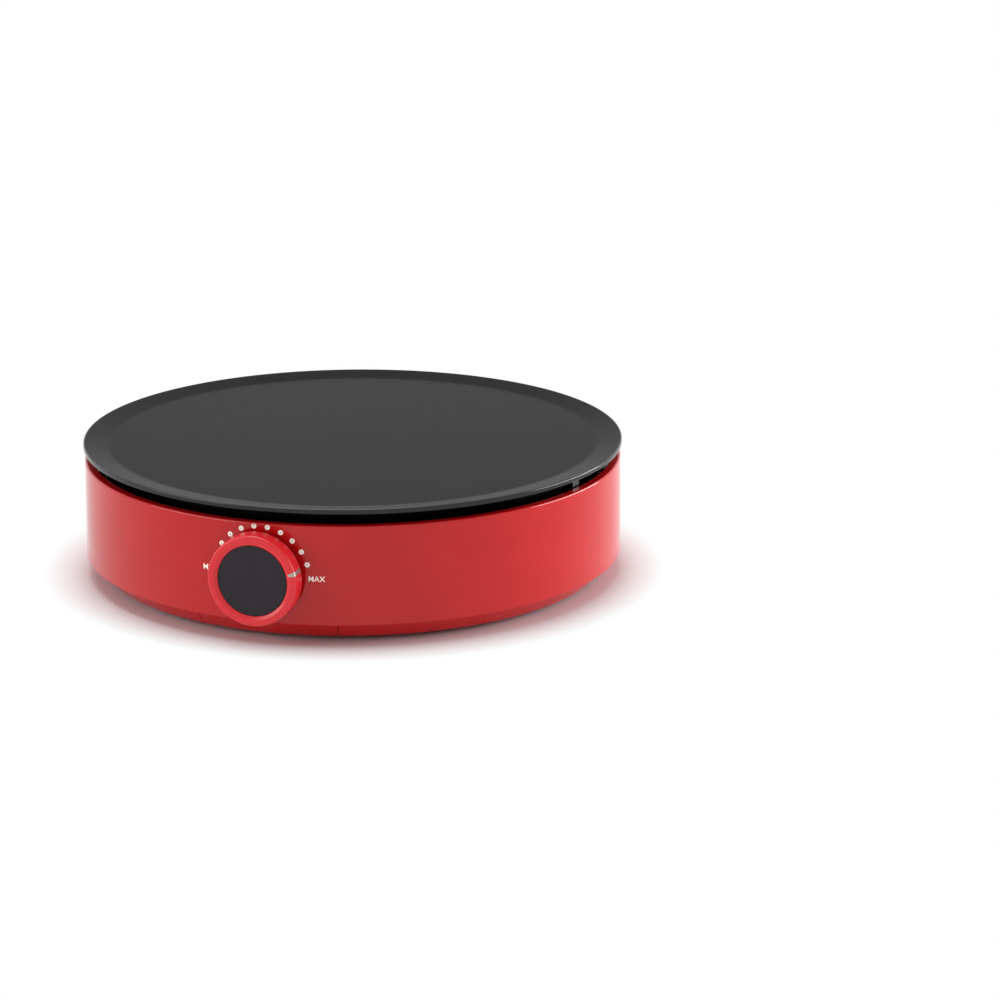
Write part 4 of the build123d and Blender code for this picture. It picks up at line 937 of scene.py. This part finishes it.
BUSH_FACE = 154.9
BUSH_RADIUS = 9.5
bush_section = [
    (146.4, 3.6), (146.4, 9.0), (148.8, 9.0), (148.8, 5.5), (152.4, 5.5), (152.4, BUSH_RADIUS),
    (BUSH_FACE, BUSH_RADIUS), (BUSH_FACE, 4.4), (154.3, 3.6),
]
bush = turned(
    "cord_bush_grommet", [(0, y, INLET_HEIGHT + radius) for y, radius in bush_section],
    steps=72, centre=(0, 0, INLET_HEIGHT), axis=(0, 1, 0),
)
waist = boolean(
    block((-6.45, 148.75, INLET_HEIGHT - 6.45), (6.45, 152.45, INLET_HEIGHT + 6.45)),
    [peg(4.8, -154, -147, 0, INLET_HEIGHT)], "DIFFERENCE",
)
boolean(bush, [waist], "UNION")
rounded(
    bush,
    lambda co: (
        abs(co.y - BUSH_FACE * MM) < 0.01 * MM
        and abs(hypot(co.x, co.z - INLET_HEIGHT * MM) - BUSH_RADIUS * MM) < 0.04 * MM
    ),
    0.9, 5,
)
finished(bush, rubber.material, "base", "black_rubber", "cord_bush")

# ---- Inside: steel parts -------------------------------------------------------------------
# The heat shield, straps and thermostat plate are pressed from coated steel sheet; the element is
# a steel sheath filled with powder, with nickel-plated pins and fired insulators at its ends.


def coated(material, *names):
    """Gives solids of the frame their finish."""
    for name in names:
        for material_slot in nodes[name].material_slots:
            material_slot.material = material


shield = Finish("aluminised_sheet", metallic=1.0)
rolling = shield.noise(1.2, 4.0, source=shield.mapped(scale=(1, 0.06, 1)))
spangle = shield.cells(4.0)
shield.colour(shield.ramp(spangle, [(0.1, (0.50, 0.50, 0.51)), (0.8, (0.60, 0.60, 0.60))]))
shield.rough(shield.between(rolling, 0.36, 0.52, 0.3, 0.7))
shield.bump((rolling, 0.004), (shield.noise(18, 2.0), 0.03))
coated(shield.material, "heat_shield")
coated(
    zinc_plate, "element_straps", "bulb_strap", "fuse_strap", "thermostat_plate",
    "thermostat_diaphragm", "thermostat_shaft", "knob_spring", "earth_screw",
)
coated(zinc("nickel_pins", (0.60, 0.57, 0.52), 0.2, 0.35), "element_pins")

sheath = Finish("element_sheath", metallic=1.0)
heat = sheath.noise(26, 3.0)
sheath.colour(sheath.ramp(heat, [
    (0.25, (0.085, 0.088, 0.090)), (0.5, (0.125, 0.118, 0.105)), (0.75, (0.105, 0.100, 0.120)),
]))
sheath.rough(sheath.between(sheath.noise(1.5, 4.0), 0.45, 0.66, 0.3, 0.7))
sheath.bump((sheath.noise(0.6, 3.0), 0.01))
coated(sheath.material, "heating_element")

ceramic = Finish("fired_ceramic", IOR=1.6)
glaze = [(0.3, (0.70, 0.66, 0.57)), (0.7, (0.80, 0.77, 0.69))]
ceramic.colour(ceramic.ramp(ceramic.noise(1.8, 4.0), glaze))
ceramic.rough(ceramic.between(ceramic.noise(0.7, 3.0), 0.6, 0.8, 0.3, 0.7))
ceramic.bump((ceramic.noise(0.3, 3.0), 0.012))
coated(ceramic.material, "element_insulators")

# ---- Inside: copper, plastics and leads ----------------------------------------------------
# The thermostat's bulb and capillary are copper, its blades and the terminals brass. The body is
# black phenolic, the terminal block white polyamide, and the leads are sleeved in woven glass.


def warm_metal(name, dark, light):
    """Drawn copper or brass with a light tarnish."""
    finish = Finish(name, metallic=1.0)
    finish.colour(finish.ramp(finish.noise(5, 4.0), [(0.3, dark), (0.72, light)]))
    finish.rough(finish.between(finish.noise(1.8, 4.0), 0.26, 0.46, 0.3, 0.7))
    finish.bump((finish.noise(0.7, 3.0), 0.004))
    return finish.material


coated(
    warm_metal("drawn_copper", (0.50, 0.22, 0.13), (0.66, 0.34, 0.22)),
    "sensor_bulb", "capillary_tube",
)
coated(
    warm_metal("stamped_brass", (0.46, 0.33, 0.12), (0.62, 0.47, 0.20)),
    "thermostat_blades", "terminal_screws",
)
coated(zinc("fuse_can", (0.64, 0.63, 0.60), 0.25, 0.4), "thermal_fuse")


def dull_plastic(name, dark, light, low, high):
    """Moulded plastic with a fine spark-eroded texture."""
    finish = Finish(name, IOR=1.5, Specular_IOR_Level=0.4)
    finish.colour(finish.ramp(finish.noise(7, 3.0), [(0.3, dark), (0.7, light)]))
    finish.rough(finish.between(finish.noise(2, 3.0), low, high, 0.3, 0.7))
    finish.bump((finish.noise(0.4, 2.0), 0.012), (finish.noise(2.5, 2.0), 0.01))
    return finish.material


for name, dark, light, low, high, node in (
    ("phenolic", (0.016, 0.015, 0.014), (0.030, 0.027, 0.025), 0.4, 0.6, "thermostat_body"),
    ("black_polyamide", (0.018, 0.018, 0.019), (0.028, 0.028, 0.029), 0.45, 0.62, "cord_clamp"),
    ("white_polyamide", (0.66, 0.65, 0.60), (0.76, 0.75, 0.71), 0.4, 0.55, "terminal_block"),
):
    coated(dull_plastic(name, dark, light, low, high), node)


THREADS_PER_METRE = 480


def sleeve(name, dark, light):
    """Braided glass sleeve: two crossing families of fine threads."""
    finish = Finish(name, IOR=1.5, Specular_IOR_Level=0.3)
    crossing = []
    for turn in ((35, 0, 45), (35, 0, -45)):
        wave = finish.node("TexWave", wave_type="BANDS", bands_direction="X")
        wave.inputs["Scale"].default_value = THREADS_PER_METRE
        finish.link(finish.mapped(turn=turn), wave.inputs["Vector"])
        crossing.append(wave.outputs["Fac"])
    weave = finish.both(*crossing)
    fuzz = finish.noise(1.5, 3.0)
    threads = finish.ramp(weave, [(0.1, dark), (0.7, light)])
    finish.colour(finish.blended(finish.between(fuzz, 0.0, 0.35), threads, light))
    finish.rough(finish.between(fuzz, 0.7, 0.9, 0.3, 0.7))
    finish.bump((weave, 0.08))
    return finish.material


coated(
    sleeve("glass_sleeve", (0.52, 0.49, 0.42), (0.80, 0.77, 0.70)),
    "lead_line", "lead_neutral", "lead_switched", "lead_element",
)
coated(sleeve("earth_sleeve_braid", (0.10, 0.24, 0.05), (0.42, 0.62, 0.16)), "lead_earth")

# ---- Table, camera and light ---------------------------------------------------------------
# A pale table top under the appliance, an even sky and three soft boxes: one low at the right
# behind, one at the left in front, and one above.


def seen_directly(tree):
    """A factor that is 1 for rays from the camera, from a gloss and through a clear piece."""
    path = tree.nodes.new("ShaderNodeLightPath")
    total = path.outputs["Is Camera Ray"]
    for name in ("Is Glossy Ray", "Is Transmission Ray"):
        adder = tree.nodes.new("ShaderNodeMath")
        adder.operation, adder.use_clamp = "ADD", True
        tree.links.new(total, adder.inputs[0])
        tree.links.new(path.outputs[name], adder.inputs[1])
        total = adder.outputs[0]
    return total


bpy.ops.object.select_all(action="DESELECT")
bpy.ops.mesh.primitive_plane_add(size=40)
table_top = bpy.context.object
table_top.name = "table_top"
paper = Finish("paper", Roughness=0.9)
plain = paper.node("BsdfDiffuse")
plain.inputs["Color"].default_value = (0.90, 0.90, 0.90, 1)
# Near the appliance the table is coloured darker and pink: painted shade that deepens its real shadow,
# and a painted reflection of the red body.
near_painted_shade_and_reflection = paper.node("BsdfDiffuse")
near_painted_shade_and_reflection.inputs["Color"].default_value = (0.64, 0.52, 0.535, 1)
far = paper.node("Emission")


def layered(factor, lower, upper):
    """One shader over another on the table top, by a factor."""
    made = paper.node("MixShader")
    for source, target in zip((factor, lower, upper), made.inputs):
        paper.link(source, target)
    return made.outputs[0]


fading = paper.between(paper.length(paper.place), 0.0, 1.0, 0.150, 0.177)
backdrop = layered(fading, near_painted_shade_and_reflection.outputs[0], far.outputs[0])
backdrop = layered(seen_directly(paper.tree), plain.outputs[0], backdrop)
paper.link(backdrop, paper.tree.nodes["Material Output"].inputs["Surface"])
table_top.data.materials.append(paper.material)

sky = bpy.data.worlds.new("sky")
bpy.context.scene.world = sky
sky.use_nodes = True
sky_strength = sky.node_tree.nodes.new("ShaderNodeMapRange")
sky_strength.inputs["To Min"].default_value = 0.65
sky_strength.inputs["To Max"].default_value = 1.0
sky.node_tree.links.new(seen_directly(sky.node_tree), sky_strength.inputs["Value"])
sky_light = sky.node_tree.nodes["Background"]
sky.node_tree.links.new(sky_strength.outputs["Result"], sky_light.inputs["Strength"])
sky_light.inputs["Color"].default_value = (1, 1, 1, 1)


def soft_box(name, place, size, watts):
    """A large lamp at a place, in metres, turned to the appliance."""
    bpy.ops.object.select_all(action="DESELECT")
    bpy.ops.object.light_add(type="AREA", location=place)
    lamp = bpy.context.object
    lamp.name = name
    x, y, z = place
    lamp.rotation_euler = (atan2(hypot(x, y), z - 0.04), 0, atan2(x, -y))
    lamp.data.shape = "RECTANGLE"
    lamp.data.size, lamp.data.size_y = size
    lamp.data.energy = watts


soft_box("right_box", (1.31, 0.73, 0.36), (1.2, 0.7), 28)
soft_box("left_box", (-1.15, -0.96, 0.55), (1.2, 0.8), 10)
soft_box("top_box", (-0.45, 0.45, 1.9), (1.3, 1.3), 23)

bpy.ops.object.camera_add(
    location=(0.6453, -1.8384, 0.6025), rotation=(radians(90 - 16.18), 0, radians(16.89))
)
camera = bpy.context.object
camera.data.lens = 127.78
camera.data.sensor_width = 36
bpy.context.scene.camera = camera
bpy.context.scene.view_settings.view_transform = "Standard"
